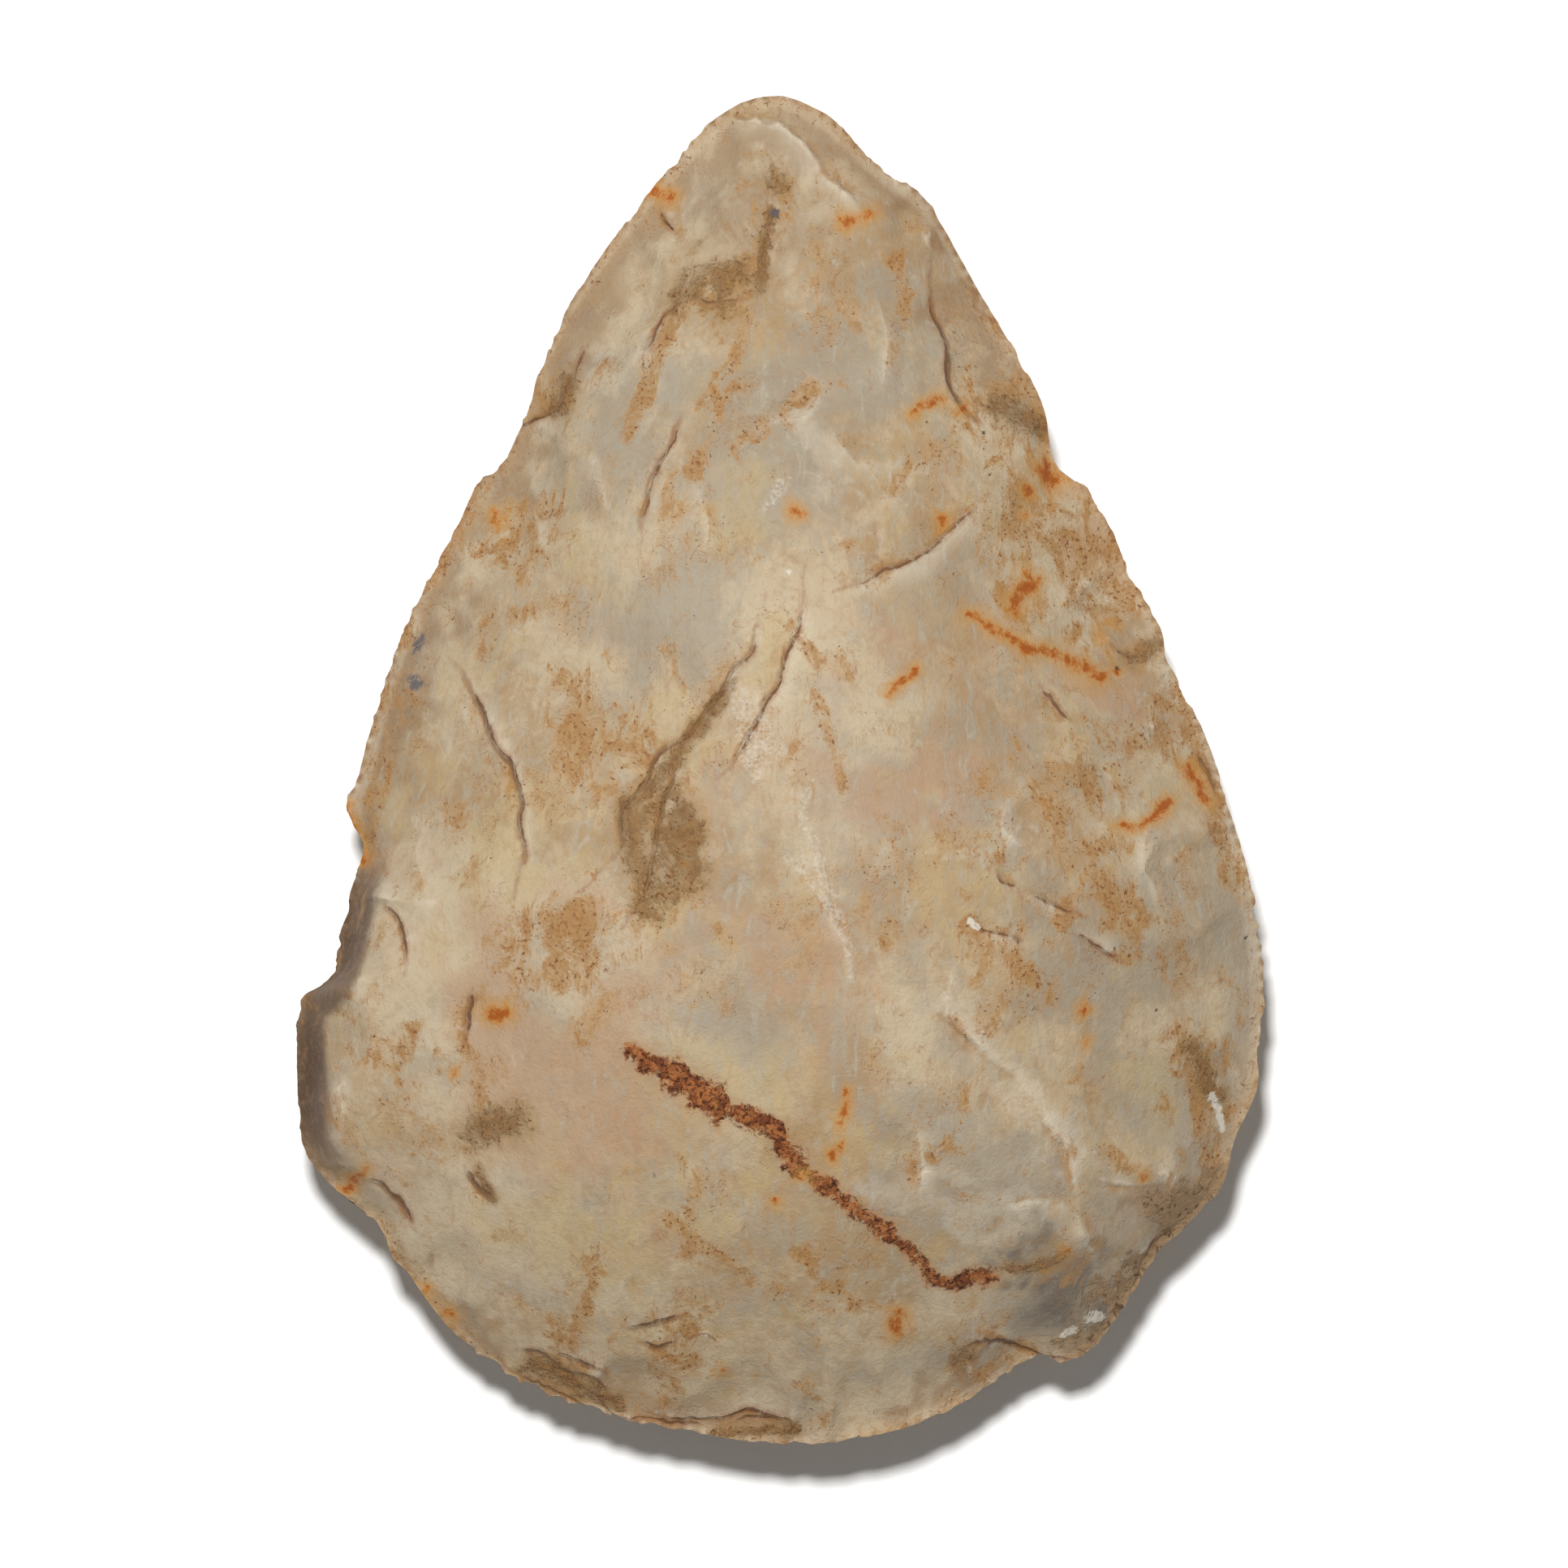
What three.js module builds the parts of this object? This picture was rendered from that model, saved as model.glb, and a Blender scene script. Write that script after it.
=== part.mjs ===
// A worked flint hand axe, lying on the flatter of its two faces.
// Millimetres, +Z up, tip towards +Y. The origin is under the middle of the outline, on the surface
// that the flint lies on.

import * as THREE from 'three';
import { mergeGeometries, mergeVertices } from 'three/addons/utils/BufferGeometryUtils.js';

// Driving dimensions of the flint
const LENGTH = 150;
const WIDTH = 107.7;
const THICKNESS = 40;
const EDGE_HEIGHT = 17; // from the resting surface up to the worked edge
const REST_WEAR = 1.6; // taken off the bulge of the underside, which leaves the flat it rests on

// Fineness of the faceting: quads across and along each face
const COLUMNS = 42;
const ROWS = 58;

// The carving is written in shares of the flint itself. A place is a percentage of the width across
// and of the length along, from the middle. A reach is a percentage of the length, and a depth is a
// percentage of the thickness.
const place = ([across, along]) => new THREE.Vector3((across * WIDTH) / 100, (along * LENGTH) / 100, 0);
const reach = (share) => (share * LENGTH) / 100;
const depth = (share) => (share * THICKNESS) / 100;

// The outline seen from above, clockwise from the tip
const OUTLINE = [
  [0, 50], [3.5, 49.1], [5.9, 48], [9.1, 45.5], [15.1, 42.4], [16.8, 40.3], [20.6, 35.4], [24.7, 30.6],
  [27.2, 26.7], [28, 23.3], [29.3, 21.8], [31.6, 21], [36.8, 13.8], [39.4, 10.2], [40, 8.2], [41.4, 6.3],
  [44.4, 1.7], [46.4, -3.1], [49.2, -10.3], [50, -17.2], [49.2, -23.5], [46.9, -27.3], [45.6, -30.9],
  [42.5, -33.4], [38.9, -36], [36.4, -38.9], [34.2, -41.2], [32.1, -43], [29.2, -44], [26, -43.7],
  [22.8, -45.3], [15.6, -48.1], [8.2, -49.5], [0.8, -50], [-7.7, -49.3], [-17.3, -48], [-27.9, -45.2],
  [-34.4, -41.3], [-38.7, -37.2], [-40.4, -35.9], [-41.2, -34.1], [-44.7, -31.9], [-47.6, -30],
  [-49.4, -27.9], [-50, -22.9], [-50, -18.1], [-49.4, -16.8], [-46.9, -15.5], [-45.6, -12.1],
  [-44.1, -7.9], [-43.2, -5.5], [-45.2, -2.8], [-43.7, -0.4], [-42.6, 2.9], [-40.7, 7.3], [-38.1, 12],
  [-33, 18.8], [-30.9, 21.8], [-29.3, 22.4], [-27, 25.5], [-24.9, 29.8], [-22, 34.4], [-18.2, 38.6],
  [-14.9, 41.8], [-10.7, 45.5], [-7.9, 47.8], [-3.8, 49.6],
];
const CENTRE = place([0, -7]);

// Flakes struck off the upper face: where each was struck, where it ran out, half width and depth
const UPPER_FLAKES = [
  [[13.6, 46.3], [6.1, 43], 5, 6], [[-14, 43], [-1, 37.2], 5, 3], [[-20.7, 36.3], [-4.8, 32.4], 4, 3],
  [[19.1, 37.2], [4, 33], 5, 2.5], [[25.8, 30], [16.6, 31.8], 5, 5.5],
  [[35.4, 16.2], [18.2, 14.4], 5.5, 3.5], [[40, 7.2], [22.4, 4.8], 5, 2.8],
  [[44.6, -0.1], [24.5, -4], 4.2, 4.5], [[49.4, -9.1], [37.9, -6.7], 4.5, 4.5],
  [[50.1, -18.1], [30.8, -15.1], 5, 3], [[47.6, -27.1], [27.5, -22.9], 5, 3.5],
  [[44.6, -32.6], [30, -31.3], 4, 4], [[32.5, -42.8], [24.1, -33.2], 6.5, 3],
  [[15.7, -50], [13.2, -31.9], 8, 2], [[-5.2, -51], [-6.1, -33], 9, 2], [[-30.8, -46], [-14, -29], 8.5, 2.2],
  [[-40.4, -35.6], [-26.2, -28.9], 5.5, 2], [[-47.5, -14.5], [-28.7, -12.1], 5.5, 2.5],
  [[-44.4, -2.2], [-25.7, -1], 8.5, 5], [[-40.4, 8.4], [-19.5, 9.6], 5, 3],
  [[-33.7, 17.4], [-18.2, 18.6], 5, 4], [[-26.6, 26.4], [-20.1, 28.8], 2.8, 5.5],
  [[-24.9, 29.4], [-8.6, 25.2], 5, 3], [[-30.4, 12.6], [-5.2, 1.1], 7, 2], [[40, 5.4], [7.3, -3.1], 7, 2],
  [[-47.1, -22.9], [-5.2, -24.7], 8.5, 1.5], [[48.8, -23.5], [9, -17.5], 8, 2],
];

// Lines cut or raised on the upper face: kind, height or depth, width at the foot, width over which
// the hollow side rises back, side of the hollow as one follows the line (1 is right), and places
const UPPER_LINES = [
  ['step', 1.6, 0.9, 3, 1, [[-1.6, 43.1], [-0.9, 41], [-1.6, 38.3], [-2.4, 35.1]]],
  ['step', 1.2, 0.9, 3, 1, [[-8.1, 34.5], [-10.7, 34.4], [-13.2, 32.1], [-14.7, 30.4]]],
  ['step', 2.6, 0.9, 5, -1, [[15.4, 39.5], [15.4, 35.1], [16.9, 31.3], [17.3, 28.1], [19.9, 26.2],
    [27.4, 25.3]]],
  ['step', 2, 0.9, 3, -1, [[-4.4, 24.4], [-1, 25.7], [2.3, 26.5], [3.8, 27.3], [3.1, 28.9], [0.5, 30]]],
  ['step', 1.4, 0.9, 4, -1, [[3.8, 26.5], [6.4, 23.8], [9, 22], [11, 20.3]]],
  ['step', 1.8, 0.9, 4, 1, [[21.4, 20.3], [18.8, 18.7], [15.4, 16.3], [10.2, 14.7], [5.7, 13.1]]],
  ['step', 2, 0.9, 4, 1, [[-10.4, 26.5], [-11.2, 24.4], [-12.8, 22], [-14.1, 19.5], [-14.4, 16.8]]],
  ['step', 2.4, 0.9, 4, 1, [[-20.3, 26.5], [-19.3, 23], [-18.4, 20.9], [-17.9, 19.3], [-18.2, 17.4]]],
  ['step', 1.6, 0.9, 3, 1, [[-26.8, 20.2], [-25.5, 19], [-24.9, 17.1], [-25.8, 15]]],
  ['step', 2.6, 0.9, 3, 1, [[-20.6, 31], [-22, 28.4], [-22.9, 27.1], [-25.8, 26], [-28.5, 25]]],
  ['step', 3, 0.9, 6, 1, [[-34.3, 8.5], [-32.6, 6.9], [-30.9, 4.5], [-29.6, 2.3], [-27.3, 0.2], [-26.5, -5.2],
    [-27.5, -9.8]]],
  ['step', 2.8, 0.9, 3.5, 1, [[-1.5, 12.8], [-2.3, 10.2], [-4.9, 6.9], [-9.7, 2.6], [-15, -1.7], [-16.4, -3.3],
    [-16.1, -5.7], [-21.4, -8.9]]],
  ['step', 2.4, 0.9, 3, 1, [[2.6, 15.2], [1.7, 10.7], [0.5, 8.2], [-1.2, 5.3], [-3.8, 2.1], [-6.5, -0.7]]],
  ['step', 2.2, 0.9, 2.5, 1, [[-9.7, 1.6], [-11.7, -1.4], [-12.8, -4.6], [-13.3, -7.6], [-16.4, -11.9]]],
  ['step', 1.2, 0.9, 3, 1, [[-41.4, -9.7], [-39.7, -10.8], [-39, -12.1], [-38.7, -15]]],
  ['step', 2.4, 0.9, 4, -1, [[28.1, 0.2], [25.1, -1], [23.5, -2.4], [23.4, -4.3], [25.1, -5.7], [31.7, -8.1]]],
  ['step', 1.4, 0.9, 3, -1, [[20.9, -7.3], [23.9, -8.6], [27.5, -9.8], [31.7, -11]]],
  ['step', 1.6, 0.9, 4, -1, [[39.2, -3.1], [37.8, -4.6], [37.8, -7], [38.9, -9.1], [41.1, -11.6]]],
  ['ridge', 1.6, 0, 2.5, 1, [[19.4, -12.1], [17.9, -15.3], [17.7, -18.5], [20.2, -20.4], [24.3, -22.6],
    [28, -26.1], [30.2, -29], [30.4, -31.9], [28, -32.7]]],
  ['ridge', 1.4, 0, 2, 1, [[30.4, -31.9], [32.1, -35.7], [34, -38.9]]],
  ['ridge', 1, 0, 2, 1, [[2.2, -1.9], [2.9, -4.8], [5.2, -10.8], [7, -13.7], [7.4, -15.9], [7, -18.7]]],
  ['ridge', 1.6, 0, 2, 1, [[-4.4, 48.4], [-0.7, 48.1], [3.2, 45.5], [6.8, 42.8], [10.5, 42.4]]],
  ['ridge', 1.6, 0, 1.2, 1, [[-48.5, -16.5], [-47.9, -19.3], [-46.2, -22.6], [-45.2, -26.6], [-45, -30.4]]],
  ['ridge', 1, 0, 1, 1, [[-42.5, -5.5], [-43, -10], [-44.8, -15]]],
  ['step', 5, 1.2, 6, -1, [[45.5, -29.5], [43.5, -32], [38, -34.5], [35, -37.5], [33.5, -41]]],
  ['step', 3, 0.9, 5, -1, [[29, -43], [25, -42.6], [20.8, -42.2], [19, -44.5]]],
  ['step', 2.2, 0.9, 3, 1, [[-25.7, -42.4], [-22.8, -43.6], [-20.3, -44.8], [-18.2, -45.7], [-16.4, -47]]],
  ['step', 2.4, 0.9, 3, 1, [[-14, -47.6], [-9, -48.3], [-3.5, -47.4], [1, -48.2]]],
];

// Flakes struck off all round towards the middle: how many, their length, half width and depth, how
// much their sizes differ, and the number that their jitter starts from
const UNDERSIDE_FLAKES = { count: 13, long: 24, halfWide: 8.5, deep: 7, spread: 0.25, seed: 200 };
const UNDERSIDE_RETOUCH = { count: 46, long: 6, halfWide: 2.8, deep: 5, spread: 0.6, seed: 300 };
const UPPER_RETOUCH = { count: 64, long: 3.4, halfWide: 1.9, deep: 3, spread: 0.7, seed: 100 };
const SLIP = 0.8; // share of the spacing by which a flake may slip along the edge

// Stretches where the edge was broken or left thick: place, span and how high the face stands there
const THICK_EDGES = [
  [[-49.6, -23.5], 8, 14], [[-45.3, -11.5], 6, 13], [[40, -36.2], 7.5, 10], [[11.5, 45], 4, 6],
];
const SHOULDER_WIDTH = 1.8;

// The dome of each face falls off faster at the thin tip than at the thick butt
const FALL_OFF = 2.4;
const FALL_OFF_TURN = 0.55;

// Seen from the side the edge waves up and down
const EDGE_WAVE = 4;
const EDGE_WAVE_FADE = 6;
const EDGE_WAVES = [5, 8, 13];

const EGG_HARMONICS = 5;
const EGG_BLEND = 6; // the power by which the plain egg turns into the true outline at the edge
const WIDEST = 0.35; // share of a flake's length at which it is widest
const OPEN_END = 0.6; // how far past its striking point a flake's bowl would go on
const SOFTNESS = 1.35; // over 1, a bowl meets the face round it without a crease
const FAR_END = 0.5; // share of a flake's depth that is lost by its far end
const LINE_FADE = 0.35; // share of a line at each end over which it dies away
const LINE_STEPS = 8; // straight steps from one written place of a line to the next
const RIM_STEPS = 720;

// The sides of flakes wander by this reach, in slow waves: how many run across the flint and along
// it, where they start, and their share
const WANDER = 0.8;
const WANDER_ACROSS = [[3.3, 3.1, 1, 1], [-6.3, 7.4, 2, 0.6]];
const WANDER_ALONG = [[-2.6, 4.1, 3, 1], [5.7, 6.9, 5, 0.6]];

const TURN = 2 * Math.PI;
const smooth = THREE.MathUtils.smoothstep;

// A number from 0 to 1 that looks random and is the same every time
function jitter(seed) {
  const wave = Math.sin(seed * 12.9898) * 43758.5453;
  return wave - Math.floor(wave);
}

// The edge of the flint in equal steps
function drawRim() {
  const curve = new THREE.CatmullRomCurve3(OUTLINE.map(place), true, 'centripetal');
  curve.arcLengthDivisions = 4 * RIM_STEPS;
  return curve.getSpacedPoints(RIM_STEPS).slice(0, RIM_STEPS);
}

const rim = drawRim();
const angleOf = (point) => Math.atan2(point.x - CENTRE.x, point.y - CENTRE.y);

// The edge at a share of the way round, between its steps
function alongRim(share) {
  const at = (((share % 1) + 1) % 1) * RIM_STEPS;
  const step = Math.floor(at) % RIM_STEPS;
  return rim[step].clone().lerp(rim[(step + 1) % RIM_STEPS], at - Math.floor(at));
}

// The plain egg behind the outline, without its notches: the edge's distance from the centre in
// every direction, kept to its few longest waves
function measureEgg() {
  const waves = Array.from({ length: EGG_HARMONICS + 1 }, () => ({ cosine: 0, sine: 0 }));
  rim.forEach((point, i) => {
    const before = rim[(i + RIM_STEPS - 1) % RIM_STEPS];
    const after = rim[(i + 1) % RIM_STEPS];
    const swept = angleOf(after) - angleOf(before);
    const part = (swept - TURN * Math.round(swept / TURN)) / TURN;
    waves.forEach((wave, n) => {
      const weight = point.distanceTo(CENTRE) * part * (n === 0 ? 0.5 : 1);
      wave.cosine += weight * Math.cos(n * angleOf(point));
      wave.sine += weight * Math.sin(n * angleOf(point));
    });
  });
  return waves;
}

const egg = measureEgg();
const eggRadius = (angle) =>
  egg.reduce((sum, wave, n) => sum + wave.cosine * Math.cos(n * angle) + wave.sine * Math.sin(n * angle), 0);

// A flake scar is a bowl that opens at the striking point and runs out at its far end
function flake(start, end, halfWidth, deep) {
  const run = end.clone().sub(start);
  const length = run.length();
  return { start, way: run.divideScalar(length), length, halfWidth, deep };
}

function flakeDepth(scar, x, y) {
  const dx = x - scar.start.x;
  const dy = y - scar.start.y;
  const along = (dx * scar.way.x + dy * scar.way.y) / scar.length;
  const across = (dx * scar.way.y - dy * scar.way.x) / scar.halfWidth;
  const beyond = along > WIDEST ? (along - WIDEST) / (1 - WIDEST) : (WIDEST - along) / (WIDEST + OPEN_END);
  const bowl = 1 - across * across - beyond * beyond;
  return bowl > 0 ? scar.deep * bowl ** SOFTNESS * (1 - FAR_END * smooth(along, WIDEST, 1)) : 0;
}

const writtenFlake = ([start, end, halfWidth, deep]) =>
  flake(place(start), place(end), reach(halfWidth), depth(deep));

// Flakes struck from the edge towards the centre, evenly round the flint but for a little jitter
function struckFlakes({ count, long, halfWide, deep, spread, seed }) {
  return Array.from({ length: count }, (_, i) => {
    const start = alongRim((i + SLIP * jitter(seed + i)) / count);
    const size = 1 + spread * (2 * jitter(seed + i + 0.5) - 1);
    const inward = CENTRE.clone().sub(start).setLength(reach(long) * size);
    return flake(start, start.clone().add(inward), reach(halfWide) * size, depth(deep) * size);
  });
}

function writtenLine([kind, high, foot, rise, side, places]) {
  const curve = new THREE.CatmullRomCurve3(places.map(place), false, 'centripetal');
  const points = curve.getPoints(LINE_STEPS * (places.length - 1));
  return { kind, high: depth(high), foot: reach(foot), rise: reach(rise), side, points };
}

// The nearest spot of a line: signed distance, positive to the right, and share of the way along
function nearest(points, x, y) {
  let best = { distance: Infinity, share: 0 };
  for (let i = 0; i < points.length - 1; i += 1) {
    const a = points[i];
    const dx = points[i + 1].x - a.x;
    const dy = points[i + 1].y - a.y;
    const part = THREE.MathUtils.clamp(((x - a.x) * dx + (y - a.y) * dy) / (dx * dx + dy * dy), 0, 1);
    const away = Math.hypot(x - a.x - part * dx, y - a.y - part * dy);
    if (away < Math.abs(best.distance)) {
      const right = (x - a.x) * dy - (y - a.y) * dx;
      best = { distance: right < 0 ? -away : away, share: (i + part) / (points.length - 1) };
    }
  }
  return best;
}

// A step drops at the line and rises back over its hollow side, and a ridge stands on both sides.
// Both die away towards the ends of the line.
function lineDepth(line, x, y) {
  const { distance, share } = nearest(line.points, x, y);
  const fade = smooth(Math.min(share, 1 - share), 0, LINE_FADE);
  if (line.kind === 'ridge') return -line.high * fade * Math.exp(-Math.abs(distance) / line.rise);
  const into = distance * line.side;
  if (into <= 0) return 0;
  return line.high * fade * smooth(into, 0, line.foot) * Math.exp(-Math.max(0, into - line.foot) / line.rise);
}

const upperFlakes = [...UPPER_FLAKES.map(writtenFlake), ...struckFlakes(UPPER_RETOUCH)];
const upperLines = UPPER_LINES.map(writtenLine);
const undersideFlakes = [...struckFlakes(UNDERSIDE_FLAKES), ...struckFlakes(UNDERSIDE_RETOUCH)];

function wander(waves, x, y) {
  const heights = waves.map(([across, along, start, share]) => {
    const turns = (across * x) / WIDTH + (along * y) / LENGTH;
    return share * Math.sin(TURN * turns + start);
  });
  return reach(WANDER) * heights.reduce((sum, height) => sum + height);
}

// Where flakes overlap the deeper one shows, which leaves a sharp wandering ridge between them
function deepest(flakes, x, y) {
  const atX = x + wander(WANDER_ACROSS, x, y);
  const atY = y + wander(WANDER_ALONG, x, y);
  return flakes.reduce((deep, scar) => Math.max(deep, flakeDepth(scar, atX, atY)), 0);
}

const upperCarving = (x, y) =>
  deepest(upperFlakes, x, y) + upperLines.reduce((sum, line) => sum + lineDepth(line, x, y), 0);
const undersideCarving = (x, y) => deepest(undersideFlakes, x, y);

function shoulder(x, y, inside) {
  const lift = THICK_EDGES.reduce((sum, [spot, span, high]) => {
    const away = Math.hypot(x - place(spot).x, y - place(spot).y) / reach(span);
    return sum + depth(high) * Math.exp(-away * away);
  }, 0);
  return lift * (1 - Math.exp(-((inside / reach(SHOULDER_WIDTH)) ** 2)));
}

// Carving gets shallower towards the thin edge, so that it never cuts through it
const kept = (deep, high) => (high > 0 ? (deep * high) / (high + Math.abs(deep)) : 0);

// The place on the flint of a point of the unit square, and the heights of both faces there
function flint(u, v) {
  const discX = u * Math.sqrt(1 - (v * v) / 2);
  const discY = v * Math.sqrt(1 - (u * u) / 2);
  const fraction = Math.min(1, Math.hypot(discX, discY));
  const edge = alongRim(Math.atan2(discX, discY) / TURN);
  const { x, y } = CENTRE.clone().lerp(edge, fraction);
  const whole = edge.distanceTo(CENTRE);
  const inside = whole * (1 - fraction);
  const angle = angleOf(edge);
  const outline = THREE.MathUtils.lerp(eggRadius(angle), whole, fraction ** EGG_BLEND);
  const out = Math.min(1, (whole * fraction) / outline);
  const dome = 1 - out ** (FALL_OFF - FALL_OFF_TURN * Math.cos(angle));
  const wave = EDGE_WAVES.reduce((sum, n) => sum + Math.sin(n * angle + n), 0) / EDGE_WAVES.length;
  const margin = EDGE_HEIGHT + depth(EDGE_WAVE) * wave * Math.exp(-inside / reach(EDGE_WAVE_FADE));
  const upperHigh = (THICKNESS - EDGE_HEIGHT) * dome + shoulder(x, y, inside);
  const underHigh = (EDGE_HEIGHT + REST_WEAR) * dome;
  return {
    x,
    y,
    upper: margin + upperHigh - kept(upperCarving(x, y), upperHigh),
    under: Math.max(0, margin - underHigh + kept(undersideCarving(x, y), underHigh)),
  };
}

// One face of the flint: a flat grid laid over the outline, with each quad split along the diagonal
// that lies closer to the true surface
function makeFace(side) {
  const face = new THREE.PlaneGeometry(2, 2, COLUMNS, ROWS);
  face.deleteAttribute('normal');
  face.deleteAttribute('uv');
  const positions = face.getAttribute('position');
  const squares = Array.from({ length: positions.count }, (_, i) => [positions.getX(i), positions.getY(i)]);
  squares.forEach(([u, v], i) => {
    const spot = flint(u, v);
    positions.setXYZ(i, spot.x, spot.y, spot[side]);
  });
  const index = [];
  for (let row = 0; row < ROWS; row += 1) {
    for (let column = 0; column < COLUMNS; column += 1) {
      const a = column + (COLUMNS + 1) * row;
      const b = a + COLUMNS + 1;
      const c = b + 1;
      const d = a + 1;
      const middle = flint((squares[a][0] + squares[c][0]) / 2, (squares[a][1] + squares[c][1]) / 2)[side];
      const missAC = Math.abs((positions.getZ(a) + positions.getZ(c)) / 2 - middle);
      const missBD = Math.abs((positions.getZ(b) + positions.getZ(d)) / 2 - middle);
      // In a corner of the grid both outer sides lie on the edge, so the split runs from the corner
      const corner = (row === 0 || row === ROWS - 1) && (column === 0 || column === COLUMNS - 1);
      const splitAC = corner ? (row === 0) === (column === 0) : missAC < missBD;
      index.push(...(splitAC ? [a, b, c, a, c, d] : [a, b, d, b, c, d]));
    }
  }
  face.setIndex(side === 'upper' ? index : index.reverse());
  return face;
}

function makeFlint() {
  const closed = mergeVertices(mergeGeometries([makeFace('upper'), makeFace('under')]), 1e-4);
  closed.computeVertexNormals();
  return closed;
}

const patinatedFlint = new THREE.MeshStandardMaterial({ color: 0xc9b79a, roughness: 0.55, metalness: 0 });

const handAxe = new THREE.Mesh(makeFlint(), patinatedFlint);
handAxe.name = 'hand_axe';

const group = new THREE.Group();
group.add(handAxe);

export default group;
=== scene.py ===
# %% [markdown]
# # A flint hand axe
# The real tool is one lump of flint. Its maker struck flakes off both faces, from the edge inwards,
# until it was pear-shaped with a thin wavy edge. Since then the stone has grown a cream patina with
# grey clouds, and iron from the soil has stained its cracks. The plain solid already has the outline,
# the dome and the larger scars. This lesson makes a finer mesh that keeps that form, and a stone
# finish painted with noise and with a few marks that are placed one by one.

# %% Load the frame
import math

import bmesh
import bpy
import numpy as np
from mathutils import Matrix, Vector, noise


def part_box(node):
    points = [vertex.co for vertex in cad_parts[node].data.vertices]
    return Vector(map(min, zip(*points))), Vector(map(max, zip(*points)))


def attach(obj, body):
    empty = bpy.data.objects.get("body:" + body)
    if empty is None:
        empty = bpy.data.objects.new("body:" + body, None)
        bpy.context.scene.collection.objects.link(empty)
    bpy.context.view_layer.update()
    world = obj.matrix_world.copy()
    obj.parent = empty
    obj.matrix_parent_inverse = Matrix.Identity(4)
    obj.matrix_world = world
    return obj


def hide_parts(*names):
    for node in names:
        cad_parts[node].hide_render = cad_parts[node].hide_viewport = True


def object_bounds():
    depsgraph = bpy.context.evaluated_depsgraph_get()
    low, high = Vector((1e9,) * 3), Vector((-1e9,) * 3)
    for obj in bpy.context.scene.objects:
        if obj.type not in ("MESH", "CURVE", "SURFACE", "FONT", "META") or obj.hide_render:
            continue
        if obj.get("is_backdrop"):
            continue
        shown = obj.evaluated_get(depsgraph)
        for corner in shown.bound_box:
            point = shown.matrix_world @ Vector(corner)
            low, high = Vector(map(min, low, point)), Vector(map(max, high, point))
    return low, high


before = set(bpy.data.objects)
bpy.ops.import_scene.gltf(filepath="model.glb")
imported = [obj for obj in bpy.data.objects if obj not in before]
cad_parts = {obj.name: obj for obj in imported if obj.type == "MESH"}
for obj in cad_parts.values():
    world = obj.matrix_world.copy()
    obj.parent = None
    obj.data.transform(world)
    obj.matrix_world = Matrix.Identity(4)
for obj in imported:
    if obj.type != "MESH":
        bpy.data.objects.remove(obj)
cad_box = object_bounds()
low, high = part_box("hand_axe")
print("the solid is", [round(side * 1000, 1) for side in high - low], "mm across, along and high")

# %% [markdown]
# ## How places are written
# Flake scars have no sizes of their own worth naming one by one, but they keep their place on the
# stone. So a place is a percentage of the width across and of the length along, from the middle.
# A reach is a percentage of the length, and a depth is a percentage of the thickness. The outline
# and the large forms have the same numbers as the solid, so that the mesh and the solid agree. The
# scars and steps are cut somewhat deeper here, and finer ones are added.

# %% Shares of the flint
MM = 0.001
WIDTH = 107.7 * MM  # the three sizes behind the solid, before its ridges and overshoot
LENGTH = 150 * MM
THICKNESS = 40 * MM
EDGE_HEIGHT = 17 * MM  # from the resting surface up to the worked edge
REST_WEAR = 1.6 * MM  # taken off the bulge of the underside, which leaves the flat it rests on
TURN = 2 * math.pi


def place(spot):
    return np.array([spot[0] * WIDTH / 100, spot[1] * LENGTH / 100])


def reach(share):
    return share * LENGTH / 100


def depth(share):
    return share * THICKNESS / 100


def smooth(x, start, end):
    share = np.clip((x - start) / (end - start), 0, 1)
    return share * share * (3 - 2 * share)


SCATTER = (12.9898, 43758.5453)  # two numbers that make neighbouring seeds give unlike results


def jitter(seed):
    """A number from 0 to 1 that looks random and is the same on every run."""
    wave = math.sin(seed * SCATTER[0]) * SCATTER[1]
    return wave - math.floor(wave)


# %% The outline seen from above, clockwise from the tip
OUTLINE = [
    (0, 50), (3.5, 49.1), (5.9, 48), (9.1, 45.5), (15.1, 42.4), (16.8, 40.3), (20.6, 35.4), (24.7, 30.6),
    (27.2, 26.7), (28, 23.3), (29.3, 21.8), (31.6, 21), (36.8, 13.8), (39.4, 10.2), (40, 8.2), (41.4, 6.3),
    (44.4, 1.7), (46.4, -3.1), (49.2, -10.3), (50, -17.2), (49.2, -23.5), (46.9, -27.3), (45.6, -30.9),
    (42.5, -33.4), (38.9, -36), (36.4, -38.9), (34.2, -41.2), (32.1, -43), (29.2, -44), (26, -43.7),
    (22.8, -45.3), (15.6, -48.1), (8.2, -49.5), (0.8, -50), (-7.7, -49.3), (-17.3, -48), (-27.9, -45.2),
    (-34.4, -41.3), (-38.7, -37.2), (-40.4, -35.9), (-41.2, -34.1), (-44.7, -31.9), (-47.6, -30),
    (-49.4, -27.9), (-50, -22.9), (-50, -18.1), (-49.4, -16.8), (-46.9, -15.5), (-45.6, -12.1),
    (-44.1, -7.9), (-43.2, -5.5), (-45.2, -2.8), (-43.7, -0.4), (-42.6, 2.9), (-40.7, 7.3), (-38.1, 12),
    (-33, 18.8), (-30.9, 21.8), (-29.3, 22.4), (-27, 25.5), (-24.9, 29.8), (-22, 34.4), (-18.2, 38.6),
    (-14.9, 41.8), (-10.7, 45.5), (-7.9, 47.8), (-3.8, 49.6),
]
CENTRE = place((0, -7))  # the dome falls off all round from here
RIM_STEPS = 1440  # equal steps in which the whole edge is kept
CURVE_STEPS = 60  # straight steps from one written place of the outline to the next


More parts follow.
